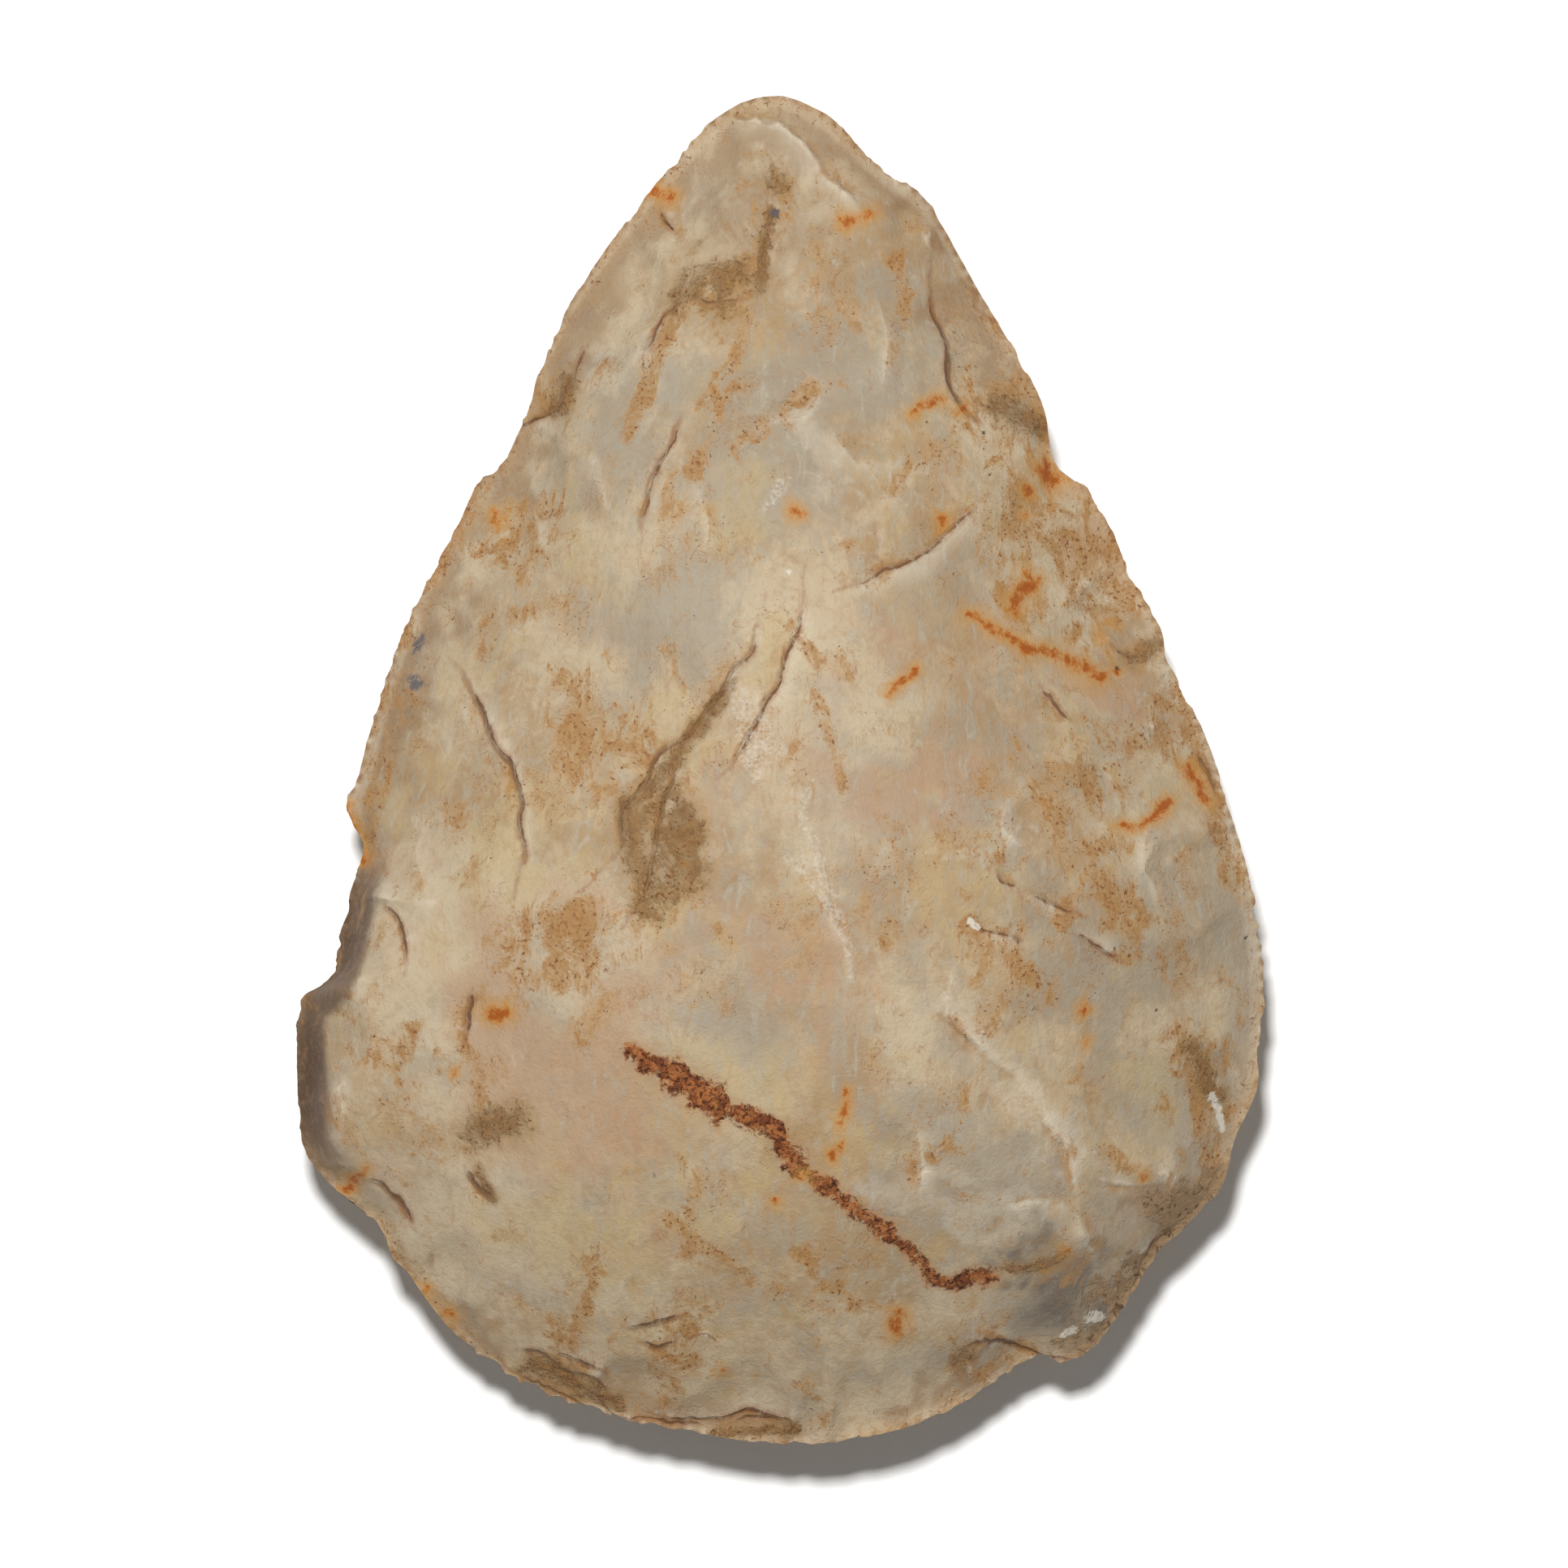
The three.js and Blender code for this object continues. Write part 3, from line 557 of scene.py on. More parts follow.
def on_border(edge):
    a, b = edge.verts[0].co, edge.verts[1].co
    return any(abs(a[axis]) > BORDER and abs(b[axis]) > BORDER and a[axis] * b[axis] > 0 for axis in (0, 1))


def lay_grid(columns, rows, border_cuts):
    bm = bmesh.new()
    bmesh.ops.create_grid(bm, x_segments=columns, y_segments=rows, size=1)
    border = [edge for edge in bm.edges if on_border(edge)]
    bmesh.ops.subdivide_edges(bm, edges=border, cuts=border_cuts, quad_corner_type="FAN")
    return bm


def refine_near_lines(bm):
    """Subdivides the inner edges that lie close to a line."""
    inner = [edge for edge in bm.edges if not on_border(edge)]
    middle = np.array([(edge.verts[0].co + edge.verts[1].co)[:2] for edge in inner]) / 2
    x, y, top, _under = flint(*middle.T)
    x, y = shaken(*as_seen(x, y, top - EDGE_HEIGHT))
    close = np.zeros(len(inner), bool)
    for _kind, _tall, _rise, _side, points in upper_lines:
        box = (x > points[:, 0].min() - NEAR_LINE) & (x < points[:, 0].max() + NEAR_LINE)
        box &= (y > points[:, 1].min() - NEAR_LINE) & (y < points[:, 1].max() + NEAR_LINE)
        distance, _share = nearest(points, x[box], y[box])
        close[box] |= np.abs(distance) < NEAR_LINE
    chosen = [edge for edge, fine in zip(inner, close) if fine]
    bmesh.ops.subdivide_edges(bm, edges=chosen, cuts=LINE_CUTS, use_grid_fill=True)
    return len(chosen)


upper = lay_grid(*UPPER_GRID, BORDER_CUTS)
print(len(upper.verts), "points;", refine_near_lines(upper), "grid edges near lines made finer")

# %% Move the points to their places and join the faces
SHARP = math.radians(50)  # edges that bend more than this stay sharp in the shading
MERGE = 1e-6


def move_to_stone(bm, upper_face):
    """Moves the points of a square to the upper face of the stone, or else to its underside."""
    square = np.array([vert.co[:2] for vert in bm.verts])
    across, along, top, bottom = flint(*square.T)
    for vert, x, y, z in zip(bm.verts, across, along, top if upper_face else bottom):
        vert.co = (x, y, z)


move_to_stone(upper, True)
under = lay_grid(*UNDER_GRID, 2 * BORDER_CUTS + 1)
move_to_stone(under, False)
bmesh.ops.reverse_faces(under, faces=under.faces)
half = bpy.data.meshes.new("underside")
under.to_mesh(half)
under.free()
upper.from_mesh(half)
bpy.data.meshes.remove(half)
bmesh.ops.remove_doubles(upper, verts=upper.verts, dist=MERGE)
bmesh.ops.triangulate(upper, faces=[face for face in upper.faces if len(face.verts) > 4])
bmesh.ops.recalc_face_normals(upper, faces=upper.faces)
open_edges = sum(not edge.is_manifold for edge in upper.edges)
triangles = sum(len(face.verts) - 2 for face in upper.faces)
print(triangles, "triangles,", open_edges, "open edges")

flint_mesh = bpy.data.meshes.new("flint")
upper.to_mesh(flint_mesh)
upper.free()
flint_mesh.shade_smooth()
flint_mesh.set_sharp_from_angle(angle=SHARP)
axe = bpy.data.objects.new("flint_axe", flint_mesh)
bpy.context.collection.objects.link(axe)
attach(axe, "root")
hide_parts("hand_axe")

# %% [markdown]
# ## Where the colours go
# The stone's colours are of two sorts. Clouds, grain and specks are everywhere, so noise makes them
# in the shader. Stains, zones and chips have their own places, so they are written here as marks:
# each is a spot or a stroke with a half width, as a reach. A mark becomes an attribute that is 1 on
# its middle and 0 at its border. The shader adds noise to that and cuts it off, which gives a ragged
# border that is finer than the mesh.

# %% Soft zones of the stone's own colour
GREY = [
    ([(35.8, -33.2)], 7.5), ([(28.3, -39.8)], 5.4), ([(44.2, -12.7)], 6.6), ([(17.8, -29.5)], 5.7),
    ([(11.5, 13.8)], 4.2), ([(-0.2, 21)], 7.2), ([(18.2, -3.1)], 5.4), ([(-5.2, -19.3)], 4.8),
    ([(-10.2, 11.4)], 5.4), ([(-17, 21)], 4.2), ([(9.9, 28.8)], 5.1), ([(-18.2, 29.4)], 3),
    ([(39.2, -24.1)], 5.4), ([(45.1, -29.5)], 4), ([(30.8, -15.1)], 3.6),
]
PINK = [
    ([(8.2, -0.7)], 7.2), ([(12.4, 4.8)], 4.2), ([(-22, -23.5)], 11.5), ([(28.3, 5.4)], 5.4),
    ([(-33.7, -16.9)], 7.8), ([(-7.7, -12.7)], 4.8), ([(3.2, -13.9)], 4.2), ([(30.8, 18.6)], 3.6),
]
YELLOW = [
    ([(-1, -30.7)], 7.8), ([(-2.7, 9), (-6.9, 2.9)], 2.7), ([(-28.7, -6.1)], 4.8), ([(24.1, -11.5)], 3),
    ([(-13.6, -8.5)], 3), ([(31.6, -25.9)], 4.2), ([(-22, 19.8)], 2.7), ([(-20.3, -36.8)], 4.8),
    ([(-5.2, 18.6)], 2.4), ([(15.7, -6.7)], 3),
]
PALE = [
    ([(-31.6, 4.8), (-28.7, 1.1)], 1.3), ([(12.4, -6.7), (21.6, -6.7), (23.3, -4.3)], 1.5),
    ([(24.1, -22.9), (30, -29.5)], 1.7), ([(3.2, 25.8), (6.5, 21)], 2.4), ([(-18.2, 30.6), (-19, 28.2)], 1.8),
    ([(10.7, -31.3), (23.3, -32.6)], 2.7), ([(-2.7, 4.8), (-0.2, 1.1)], 2.1),
    ([(13.2, 22.2), (8.2, 17.4)], 1.5),
]

# %% Stains and dirt, and zones of painted shade
OCHRE = [
    ([(-6.1, 36)], 2.9), ([(-0.2, 43.6)], 2.9), ([(-4.4, 24.3), (3.2, 28.2)], 1.4), ([(-27, 18.6)], 3.6),
    ([(-22, 12.6)], 1.9), ([(-20.3, 2.9)], 4.5), ([(-22.8, -13)], 4.5), ([(-11.1, -9.1)], 3.6),
    ([(22.4, -6.1)], 2.7), ([(29.1, -0.7)], 3.6), ([(27.5, -10.9)], 2), ([(32.5, 15)], 6),
    ([(25.8, 19.8)], 3.6), ([(22, 27)], 3.6), ([(22, 33)], 2.5), ([(43.4, -22.9)], 3.6),
    ([(15.7, -27.7)], 1.6), ([(-39.6, 6)], 2.7), ([(-41.2, -20.5)], 2.4), ([(-11.9, -43.4)], 3.3),
    ([(-22, -45.2)], 3.3),
    ([(19.9, -43.4)], 2.7), ([(-0.2, -38.6)], 1.4), ([(11.5, -10.9)], 1.9), ([(-23.7, 28.2)], 2.4),
    ([(38.3, 2.9)], 3.6), ([(-6.9, 28.2)], 2.4), ([(18.2, -19.3)], 1.2), ([(-33.7, -3.7)], 2),
    ([(32.5, -28.9)], 1.8), ([(-45.4, -22)], 1.5), ([(24.5, 13.5)], 1.8),
    ([(-8, 36), (-13, 31), (-15.5, 25)], 1), ([(-3, 34), (-6, 27), (-9, 22)], 0.8), ([(-24.9, 11.9)], 1.6),
    ([(-23, 7), (-18, 2.5), (-14, 0.5)], 1.2), ([(-27.7, -13.4), (-21, -16.6)], 2),
    ([(23.4, 18.5), (29, 16)], 1.4), ([(29, -1.1), (33, -7), (37, -13.4)], 1.6),
    ([(20, -11.7), (28, -16.6)], 1.2), ([(41.5, -19), (45, -30.5)], 1.2),
    ([(-19.2, -35.4), (-20.4, -40), (-22, -45.1)], 0.7), ([(-8.4, -29.7), (-9.6, -35.4)], 0.7),
    ([(4, 5.4), (6.3, -1.1)], 0.7), ([(-33, 19), (-39, 10)], 1.2), ([(-41, 1), (-43, -7)], 1),
    ([(12, 38), (13, 33)], 0.8), ([(16, 24), (11, 21)], 0.9), ([(0, 12), (4, 8)], 0.8),
    ([(-30, -26), (-33, -20)], 0.8), ([(2, -36), (8, -40)], 0.8), ([(-12, -33), (-3, -38)], 0.7),
    ([(30, 24), (37, 14)], 1.4), ([(41, 6), (47, -8)], 1.2),
]
CRUMBLY = [([(46, -30.5), (42.5, -33.4), (38.9, -36), (36.4, -38.9), (34.2, -41.2), (31.5, -43.2)], 2)]
# Dirt, with one stroke of painted shade along the central groove
DIRT_AND_SHADE = [
    ([(-6.9, 36.3)], 2.2), ([(-0.4, 43.6)], 1.0), ([(-10.7, -3.8), (-10.6, -6), (-12.3, -8.7)], 1.9),
    # painted shade along the central groove
    ([(-5.2, 6.2), (-9, 2.7), (-13, -0.9), (-16, -3.6)], 0.6),
    ([(-15.5, -2.5), (-15.6, -6), (-13.6, -8.6)], 0.9), ([(-31.6, -26.8), (-27.7, -25.9)], 1.3),
    ([(-31.2, -29.5), (-29.7, -31.8)], 0.4), ([(42.4, -20.5)], 0.8), ([(-25.7, -44), (-17, -46.9)], 0.8),
    ([(-6.9, -49.3), (1.5, -48.7)], 0.5), ([(18.9, -43.2)], 0.8), ([(-2.3, 36), (-1, 41.2)], 0.6),
    ([(23.2, -36.9), (25.1, -37), (28, -36.4), (29.2, -35.8)], 0.4), ([(27, 25.4), (22.4, 27)], 1),
    ([(-21.8, 28.5), (-23, 27)], 1), ([(36.5, 8.6), (39, 9.3)], 0.8), ([(45, -24), (43, -21.5)], 0.8),
]
# Painted shade: brown zones where the faces turn away from the lamp, at the tip and its bevel, the flanks and
# the butt
PAINTED_SHADE = [
    ([(-9, 44.5), (-2, 48), (4, 46.5)], 3.5), ([(-1, 42)], 7), ([(-22, 33), (-13, 42)], 2.5),
    ([(6.6, 46.6), (10.5, 44.3), (15.5, 41.2), (18.5, 37.8)], 2.6), ([(-26.5, 25), (-21.5, 31.5)], 2.2),
    ([(-44, -3), (-36, 12)], 2.5), ([(-34, 16), (-27, 25)], 2.5), ([(28, -43.5), (12, -48)], 1.6),
    ([(-40, -37), (-28, -45)], 2), ([(-25, -45.5), (0, -49)], 1.4),
    ([(19, 34), (24, 28.5)], 2.4), ([(33, 12), (37, 8.6)], 1.8), ([(-35.5, 14), (-39.5, 7)], 1.6),
    ([(44, -25), (46.5, -21)], 2), ([(22, -44.6), (31, -43.8)], 1), ([(38, -33), (43, -31.5)], 2.4),
]
IRON = [
    ([(-15.3, -20.7), (-13.9, -21.6)], 0.6), ([(-13.9, -21.6), (-11.4, -22.6)], 0.9),
    ([(-11.4, -22.6), (-9.9, -23.1), (-7.7, -23.8), (-5.7, -25)], 1.2), ([(-8.4, -24.6)], 1.1),
    ([(-5.7, -25), (-2.6, -26.1), (-0.9, -26.9)], 0.85), ([(-0.9, -26.9), (1, -28.5), (1.6, -29.3)], 1.05),
    ([(1.6, -29.3), (3.2, -30), (6.5, -31.9)], 0.55), ([(6.5, -31.9), (11.5, -34.7)], 0.65),
    ([(12.3, -35.2), (14.2, -36.3)], 0.5), ([(19.2, -37.6), (21, -37.5)], 0.8),
    ([(14.6, -36.5), (15.7, -37.7), (17.5, -38.1), (20.2, -37.4)], 0.55),
]
RUST = [
    ([(-12.8, 43), (-11.2, 42.6)], 0.8), ([(6.6, 40.6)], 0.95), ([(6.6, 40.6), (9.3, 41.3)], 0.7),
    ([(13.7, 26.3), (14.6, 27.2), (16.4, 27.4)], 0.7), ([(18.6, 26.9)], 0.55),
    ([(27.4, 22.2), (28.3, 21.6)], 1.3), ([(25.7, 20.7)], 0.7), ([(25.4, 19)], 0.5), ([(16.6, 18.5)], 0.8),
    ([(25.5, 14.1), (24.4, 12.3)], 1), ([(19.2, 11.5), (22.6, 10.2), (25, 9.1)], 0.75), ([(25, 9.1)], 1.6),
    ([(25, 9.1), (29, 8.4), (33.1, 6.9)], 0.9),
    ([(34.7, 7.6)], 1.5), ([(41.9, 0.2), (43.6, -2.2)], 0.7), ([(35.1, -4.2), (37, -4.3), (40.4, -2.4)], 0.7),
    ([(31.4, -17.9)], 0.8), ([(31.4, -20)], 0.6), ([(6.7, -23.6), (6.3, -25.3), (5.8, -26.7)], 0.6),
    ([(6.1, -27.7), (5.2, -28.8)], 0.6), ([(12.2, -40.3), (11.8, -41.5)], 0.9), ([(-0.8, -32.1)], 0.6),
    ([(-6.1, -44.6)], 0.6), ([(-34.2, -40.3)], 0.7), ([(-36.6, -38.2)], 0.6),
    ([(-43.2, -29.8), (-45.5, -31.1)], 0.7), ([(-30, -18.2), (-28.2, -18.1)], 0.8), ([(-33.6, -22.6)], 0.5),
    ([(-45.2, -2.8), (-43.8, -4.9), (-43, -6.7)], 0.7),
    ([(29.6, -35.6)], 0.7), ([(2.3, -30.1)], 0.7), ([(14.1, 7.5), (11.1, 5.7)], 0.6), ([(37.5, -30.1)], 0.7),
    ([(-29.5, 18.6)], 1), ([(1.7, 19.1)], 0.8),
]
DOTS = [
    (20.9, 25), (21.6, 22), (15.1, 25.7), (-9.1, 39.5), (-9.8, 36.8), (-10.7, 40.6), (-17.8, 33.6),
    (33, 16.2), (8.8, 12), (48, -12.4), (38.8, -17.8), (-22, 5.4), (-21.6, -0.1), (-24.7, -0.8),
    (-20.7, -1.1), (22.4, -35), (-25.3, -20.5), (34.7, 7.6), (22, -19), (-13, -30), (9, -38),
    (-30, -10), (3.5, 33.5), (-27.5, 8),
]
LIME = [
    ([(0.6, 14.7)], 0.5), ([(32.9, -40.3), (31.4, -40.6)], 0.5), ([(30, -41.6), (29.2, -41.8)], 0.5),
    ([(44.4, -24.2), (45.1, -25)], 0.45), ([(45.3, -25.6), (45.6, -26.6)], 0.35),
    ([(19.5, -11.2), (20.3, -11.6)], 0.4), ([(39.5, -35.8)], 0.6), ([(37.5, -39.4)], 0.5),
    ([(43, -33.6)], 0.4),
]
BLUE = [([(-37.5, 9.6), (-37.6, 9)], 0.6), ([(-37.7, 7), (-37.5, 6.3)], 0.6), ([(-0.6, 41.2)], 0.5)]
SCRATCHES = [
    ([(2.2, -1.9), (2.6, -4), (4, -6.1), (4.4, -8), (5.7, -9.7)], 0.5),
    ([(2.3, -6.7), (3.2, -8.4), (4.8, -10.3), (6.6, -12), (7.3, -13.9)], 0.5),
    ([(-0.2, -5.5), (1.9, -7.6)], 0.4), ([(3.2, -0.7), (1.9, -3.7)], 0.4), ([(-3.5, 4.5), (-1.5, 1.5)], 1.4),
    ([(-4.6, 6), (-3.6, 2.5), (-2.5, -0.5)], 0.8), ([(0.5, 21.5), (-1.5, 19.5)], 0.6),
]
DARK_GREY = [([(30, -38)], 4.5), ([(23.5, -36.5)], 2.5)]

# %% Marks become attributes
coordinates = np.zeros(len(flint_mesh.vertices) * 3)
flint_mesh.vertices.foreach_get("co", coordinates)
coordinates = coordinates.reshape(-1, 3)
normals = np.zeros(len(flint_mesh.vertices) * 3)
flint_mesh.vertex_normals.foreach_get("vector", normals)
normals = normals.reshape(-1, 3)
at_x, at_y, at_z = coordinates.T
LEAST_RISE = -0.3  # a point whose normal points further down than this is on the underside
upward = normals[:, 2] > LEAST_RISE
seen_x, seen_y = as_seen(at_x, at_y, at_z - EDGE_HEIGHT)
FRAY_ACROSS = [(1, 4.5 * MM, 41), (0.6, 1.8 * MM, 42)]  # noises: strength, size and seed
FRAY_ALONG = [(1, 4.5 * MM, 43), (0.6, 1.8 * MM, 44)]


def frayed(amount):
    """Each point's place, moved by noise, so that a mark's border wanders and breaks up."""
    across = layered(at_x, at_y, FRAY_ACROSS)
    along = layered(at_x, at_y, FRAY_ALONG)
    return seen_x + amount * across, seen_y + amount * along


BROAD_MARK = 1.4  # marks with a larger half width than this fray broadly
BROAD_FRAY = frayed(4.5 * MM)
NARROW_FRAY = frayed(0.6 * MM)
UNFRAYED = 0.5  # marks with a smaller half width than this keep their place
DOT_SIZE = 0.35


def mark_field(marks):
    """1 in the middle of the nearest mark, 0 at its border and less outside it."""
    field = np.full(at_x.shape, -1.0)
    for places, half_width in marks:
        points = np.array([place(spot) for spot in places])
        x, y = BROAD_FRAY if half_width > BROAD_MARK else NARROW_FRAY
        if half_width < UNFRAYED:
            x, y = seen_x, seen_y
        if len(points) == 1:
            away = np.hypot(x - points[0][0], y - points[0][1])
        else:
            away = np.abs(nearest(points, x, y)[0])
        field = np.maximum(field, 1 - away / reach(half_width))
    return np.where(upward, field, -1)


def store(name, values):
    attribute = flint_mesh.attributes.new(name, "FLOAT", "POINT")
    attribute.data.foreach_set("value", np.asarray(values, np.float32))


MARKS = {
    "grey": GREY, "pink": PINK, "yellow": YELLOW, "pale": PALE, "ochre": OCHRE, "dirt_and_shade": DIRT_AND_SHADE, "iron": IRON,
    "rust": RUST, "dots": [([spot], DOT_SIZE) for spot in DOTS], "lime": LIME, "blue": BLUE,
    "scratches": SCRATCHES, "dark_grey": DARK_GREY, "painted_shade": PAINTED_SHADE, "crumbly": CRUMBLY,
}
for name, marks in MARKS.items():
    store(name, mark_field(marks))
print(len(MARKS), "kinds of mark,", sum(len(marks) for marks in MARKS.values()), "marks in all")

# %% [markdown]
# ## Cliffs, ridges and the edge
# Dirt gathers in a cliff's hollow and along its foot. Ridges are rubbed pale, with a painted highlight on
# top. So each point stores how far the nearest cliff is, how much it lies in a hollow or on a pale lip,
# and whether it is on the high side, which is painted lighter, or on the low side, which gets ochre
# that is partly painted shade. Broader ridges and hollows are found from the mesh itself, by how far
# a point stands out from its neighbours.

# %% How near the cliffs and the written ridges are
CLIFF_REACH = 4 * MM
TALL_CLIFF = 2.2  # depth at which a cliff's line is at its darkest
TAPER = 0.3 * MM  # a line thins out at its ends, as if it were this much further away
FULL_LINE = 0.6  # strength from which a line isn't thinned
HOLLOW_REACH = 1.7 * MM  # how far the dirt in a hollow goes
BROAD_REACH = 5 * MM  # how far the darker side of a cliff goes
LIP_REACH = 0.35 * MM
BROAD_LIP_REACH = 2.2 * MM  # how far the paler side goes
IN_HOLLOW = 0.3  # strength from which a point counts as lying in a hollow

shaken_x, shaken_y = shaken(seen_x, seen_y)
uneven = patchy(at_x, at_y, *LINE_PATCHES)
cliff = np.full(at_x.shape, CLIFF_REACH)
hollow_field = np.zeros(at_x.shape)
pale_lip_and_highlight_field = np.zeros(at_x.shape)
rubbed_and_highlighted_ridges = np.zeros(at_x.shape)
lit_and_shaded_side = np.zeros(at_x.shape)
for kind, tall, rise, side, points in upper_lines:
    distance, share = nearest(points, shaken_x, shaken_y)
    fade = smooth(np.minimum(share, 1 - share), 0, LINE_FADE) * uneven
    away = np.abs(distance)
    # ridges and crests: rubbed pale, with a painted highlight
    if kind in ("ridge", "crest"):
        rubbed_and_highlighted_ridges = np.maximum(rubbed_and_highlighted_ridges, fade * np.exp(-away / LIP_REACH))
    if kind == "ridge":
        continue
    if kind == "step":
        cliff = np.minimum(cliff, away + TAPER * (1 - smooth(fade, 0, FULL_LINE)))
    fade = fade * min(1, tall / depth(TALL_CLIFF))
    into = distance * side
    if kind != "crest":
        stained = np.exp(-np.maximum(0, away - reach(FEET[kind]) / 2) / HOLLOW_REACH)
        hollow_field = np.maximum(hollow_field, np.where(into > 0, fade * stained, 0))
    # the high side of a cliff: a pale lip, rubbed wear with a painted highlight
    pale_lip_and_highlight_field = np.maximum(pale_lip_and_highlight_field, np.where(into < 0, fade * np.exp(-away / LIP_REACH), 0))
    # painted light and shade: the high side of a cliff is painted paler, the low side gets ochre that is
    # partly painted shade
    reach_of_side = np.where(into > 0, BROAD_REACH, BROAD_LIP_REACH)
    lit_and_shaded_side += np.where(into > 0, -1, 1) * fade * np.exp(-away / reach_of_side)
store("cliff", np.where(upward, cliff, CLIFF_REACH) / MM)
store("hollow", np.where(upward, hollow_field, 0))
store("pale_lip_and_highlight", np.where(upward, np.maximum(pale_lip_and_highlight_field, rubbed_and_highlighted_ridges), 0))
store("side", np.where(upward, np.clip(lit_and_shaded_side, -1, 1), 0))
print(f"{(hollow_field > IN_HOLLOW).mean():.1%} of the points lie in the hollow of a cliff")

# %% Distance from the edge
RIM_SKIP = 6  # every sixth step of the edge is near enough

rim_gap = np.full(at_x.shape, np.inf)
for point in rim[::RIM_SKIP]:
    rim_gap = np.minimum(rim_gap, np.hypot(at_x - point[0], at_y - point[1]))
store("edge_distance", rim_gap / MM)

# %% Ridges and hollows
FINE_ROUNDS = 2  # times that each point's bend is averaged with its neighbours'
BROAD_ROUNDS = 16
FULL_SHARE = 95  # percentage of the points that bend less than a full ridge or hollow
CLEAR_OF_EDGE = 4 * MM  # only points further in than this are counted for it
NEAR_RIM = 1.2 * MM  # closer to the edge than this the bends fade out

pairs = np.zeros(len(flint_mesh.edges) * 2, int)
flint_mesh.edges.foreach_get("vertices", pairs)
first, second = pairs.reshape(-1, 2).T
points_in_all = len(coordinates)
gap = coordinates[second] - coordinates[first]
length_squared = (gap * gap).sum(1)
count = np.bincount(pairs, minlength=points_in_all)
bend = np.bincount(first, -(gap * normals[first]).sum(1) / length_squared, points_in_all)
bend += np.bincount(second, (gap * normals[second]).sum(1) / length_squared, points_in_all)
bend /= count


def averaged(values, rounds):
    for _round in range(rounds):
        beside = np.bincount(first, values[second], points_in_all)
        beside = beside + np.bincount(second, values[first], points_in_all)
        values = (values + beside) / (count + 1)
    return values


for name, rounds in (("fine_bend", FINE_ROUNDS), ("broad_bend", BROAD_ROUNDS)):
    evened = averaged(bend, rounds)
    inner = evened[rim_gap > CLEAR_OF_EDGE]
    evened = evened - np.median(inner)
    full = np.percentile(np.abs(inner - np.median(inner)), FULL_SHARE)
    store(name, np.clip(evened / full, -1, 1) * smooth(rim_gap, 0, NEAR_RIM))
    print(f"{name}: a full ridge turns one in {1 / full / MM:.1f} mm")

# %% Painted shade on the steep walls of the thick broken stretches, with their own brown
SHADED_WALLS = [((-48.3, -23), 7.5, 1.3), ((-44.5, -11), 5.5, 1.1)]  # place, reach and strength
WALL_HEAD = (2.5 * MM, 5 * MM)  # distances from the edge between which a wall ends

# the walls face away from the lamp: their colour is mostly painted shade, with their own brown
wall_shade = sum(strength * near_to(middle, span, at_x, at_y) for middle, span, strength in SHADED_WALLS)
store("wall_shade", wall_shade * (1 - smooth(rim_gap, *WALL_HEAD)))
store("underside", 1 - upward.astype(float))

# %% [markdown]
# ## Clouds in the stone
# The slow changes of colour are wider than the mesh is fine, so they are worked out once for each
# point and stored, which keeps the shader quick. Each is noise of several sizes at once, and its
# coordinates are bent by other noise, so that the clouds look drawn out and folded.

# %% Clouds: size, octaves and roughness
FOLDING = 3 * MM  # how far the coordinates are bent
FOLDING_SIZE = 14 * MM
FOLDING_SEEDS = (61, 62, 63)
CLOUD_SEED = 71
SEED_GAP = 10
FINER = 2  # how much finer each octave is than the one before
CLOUDS = {
    "drift": (24 * MM, 4, 1.0), "grey_cloud": (10 * MM, 5, 0.8), "straw_cloud": (9 * MM, 5, 0.8),
    "rose_cloud": (13 * MM, 5, 0.9), "seep_cloud": (7 * MM, 5, 0.5),
}
CLOUD_RANGE = (4, 96)  # percentages of the points that end up at 0 and at 1


def folded(seed):
    shift = Vector((0, 0, seed))
    return [noise.noise(Vector(at) / FOLDING_SIZE + shift) * FOLDING for at in coordinates]


bent = coordinates + np.column_stack([folded(seed) for seed in FOLDING_SEEDS])
for number, (name, (size, octaves, roughness)) in enumerate(CLOUDS.items()):
    shift = Vector((0, 0, CLOUD_SEED + SEED_GAP * number))
    values = np.array([noise.fractal(Vector(at) / size + shift, roughness, FINER, octaves) for at in bent])
    bottom, top = np.percentile(values, CLOUD_RANGE)
    store(name, np.clip((values - bottom) / (top - bottom), 0, 1))
print(len(CLOUDS), "clouds stored")

# %% [markdown]
# ## The finish of the stone
# Patinated flint is a little glossy, but hardly shines from above. Its colour is layered: cream and
# buff clouds first, then the grey, pink and yellow zones, painted shade where the faces turn from
# the lamp, the ridges that are rubbed pale and get a painted highlight, the ochre that seeps out
# along fine threads, the dark lines of the steps, painted shade on the broken walls, and last the
# dirt with a stroke of painted shade in the groove, the iron, the rust and the lime. Every layer is
# laid on by a mask, so each can be tuned by itself. In a cut, the two numbers are where the mask
# begins and where it is full, and the last number of a layer is its strength. All sizes are real
# ones, read from Object coordinates.

# %% Small helpers for the shader
stone = bpy.data.materials.new("patinated flint")
stone.use_nodes = True
tree = stone.node_tree
tree.nodes.clear()


def linear(red, green, blue, share=1.0):
    """A colour as seen on a screen, from 0 to 255, as the shader's own linear colour."""
    return tuple(share * (((c / 255) + 0.055) / 1.055) ** 2.4 for c in (red, green, blue)) + (1,)


LIT = 0.81  # the stone's own colour, as a share of what is seen of it in this light


def seen(red, green, blue):
    return linear(red, green, blue, LIT)


def feed(socket, value):
    """Links another node's output to a socket, or sets the socket's own value."""
    if isinstance(value, bpy.types.NodeSocket):
        tree.links.new(value, socket)
    else:
        socket.default_value = value


def add(kind, **inputs):
    made = tree.nodes.new(kind)
    for name, value in inputs.items():
        feed(made.inputs[name.replace("_", " ")], value)
    return made


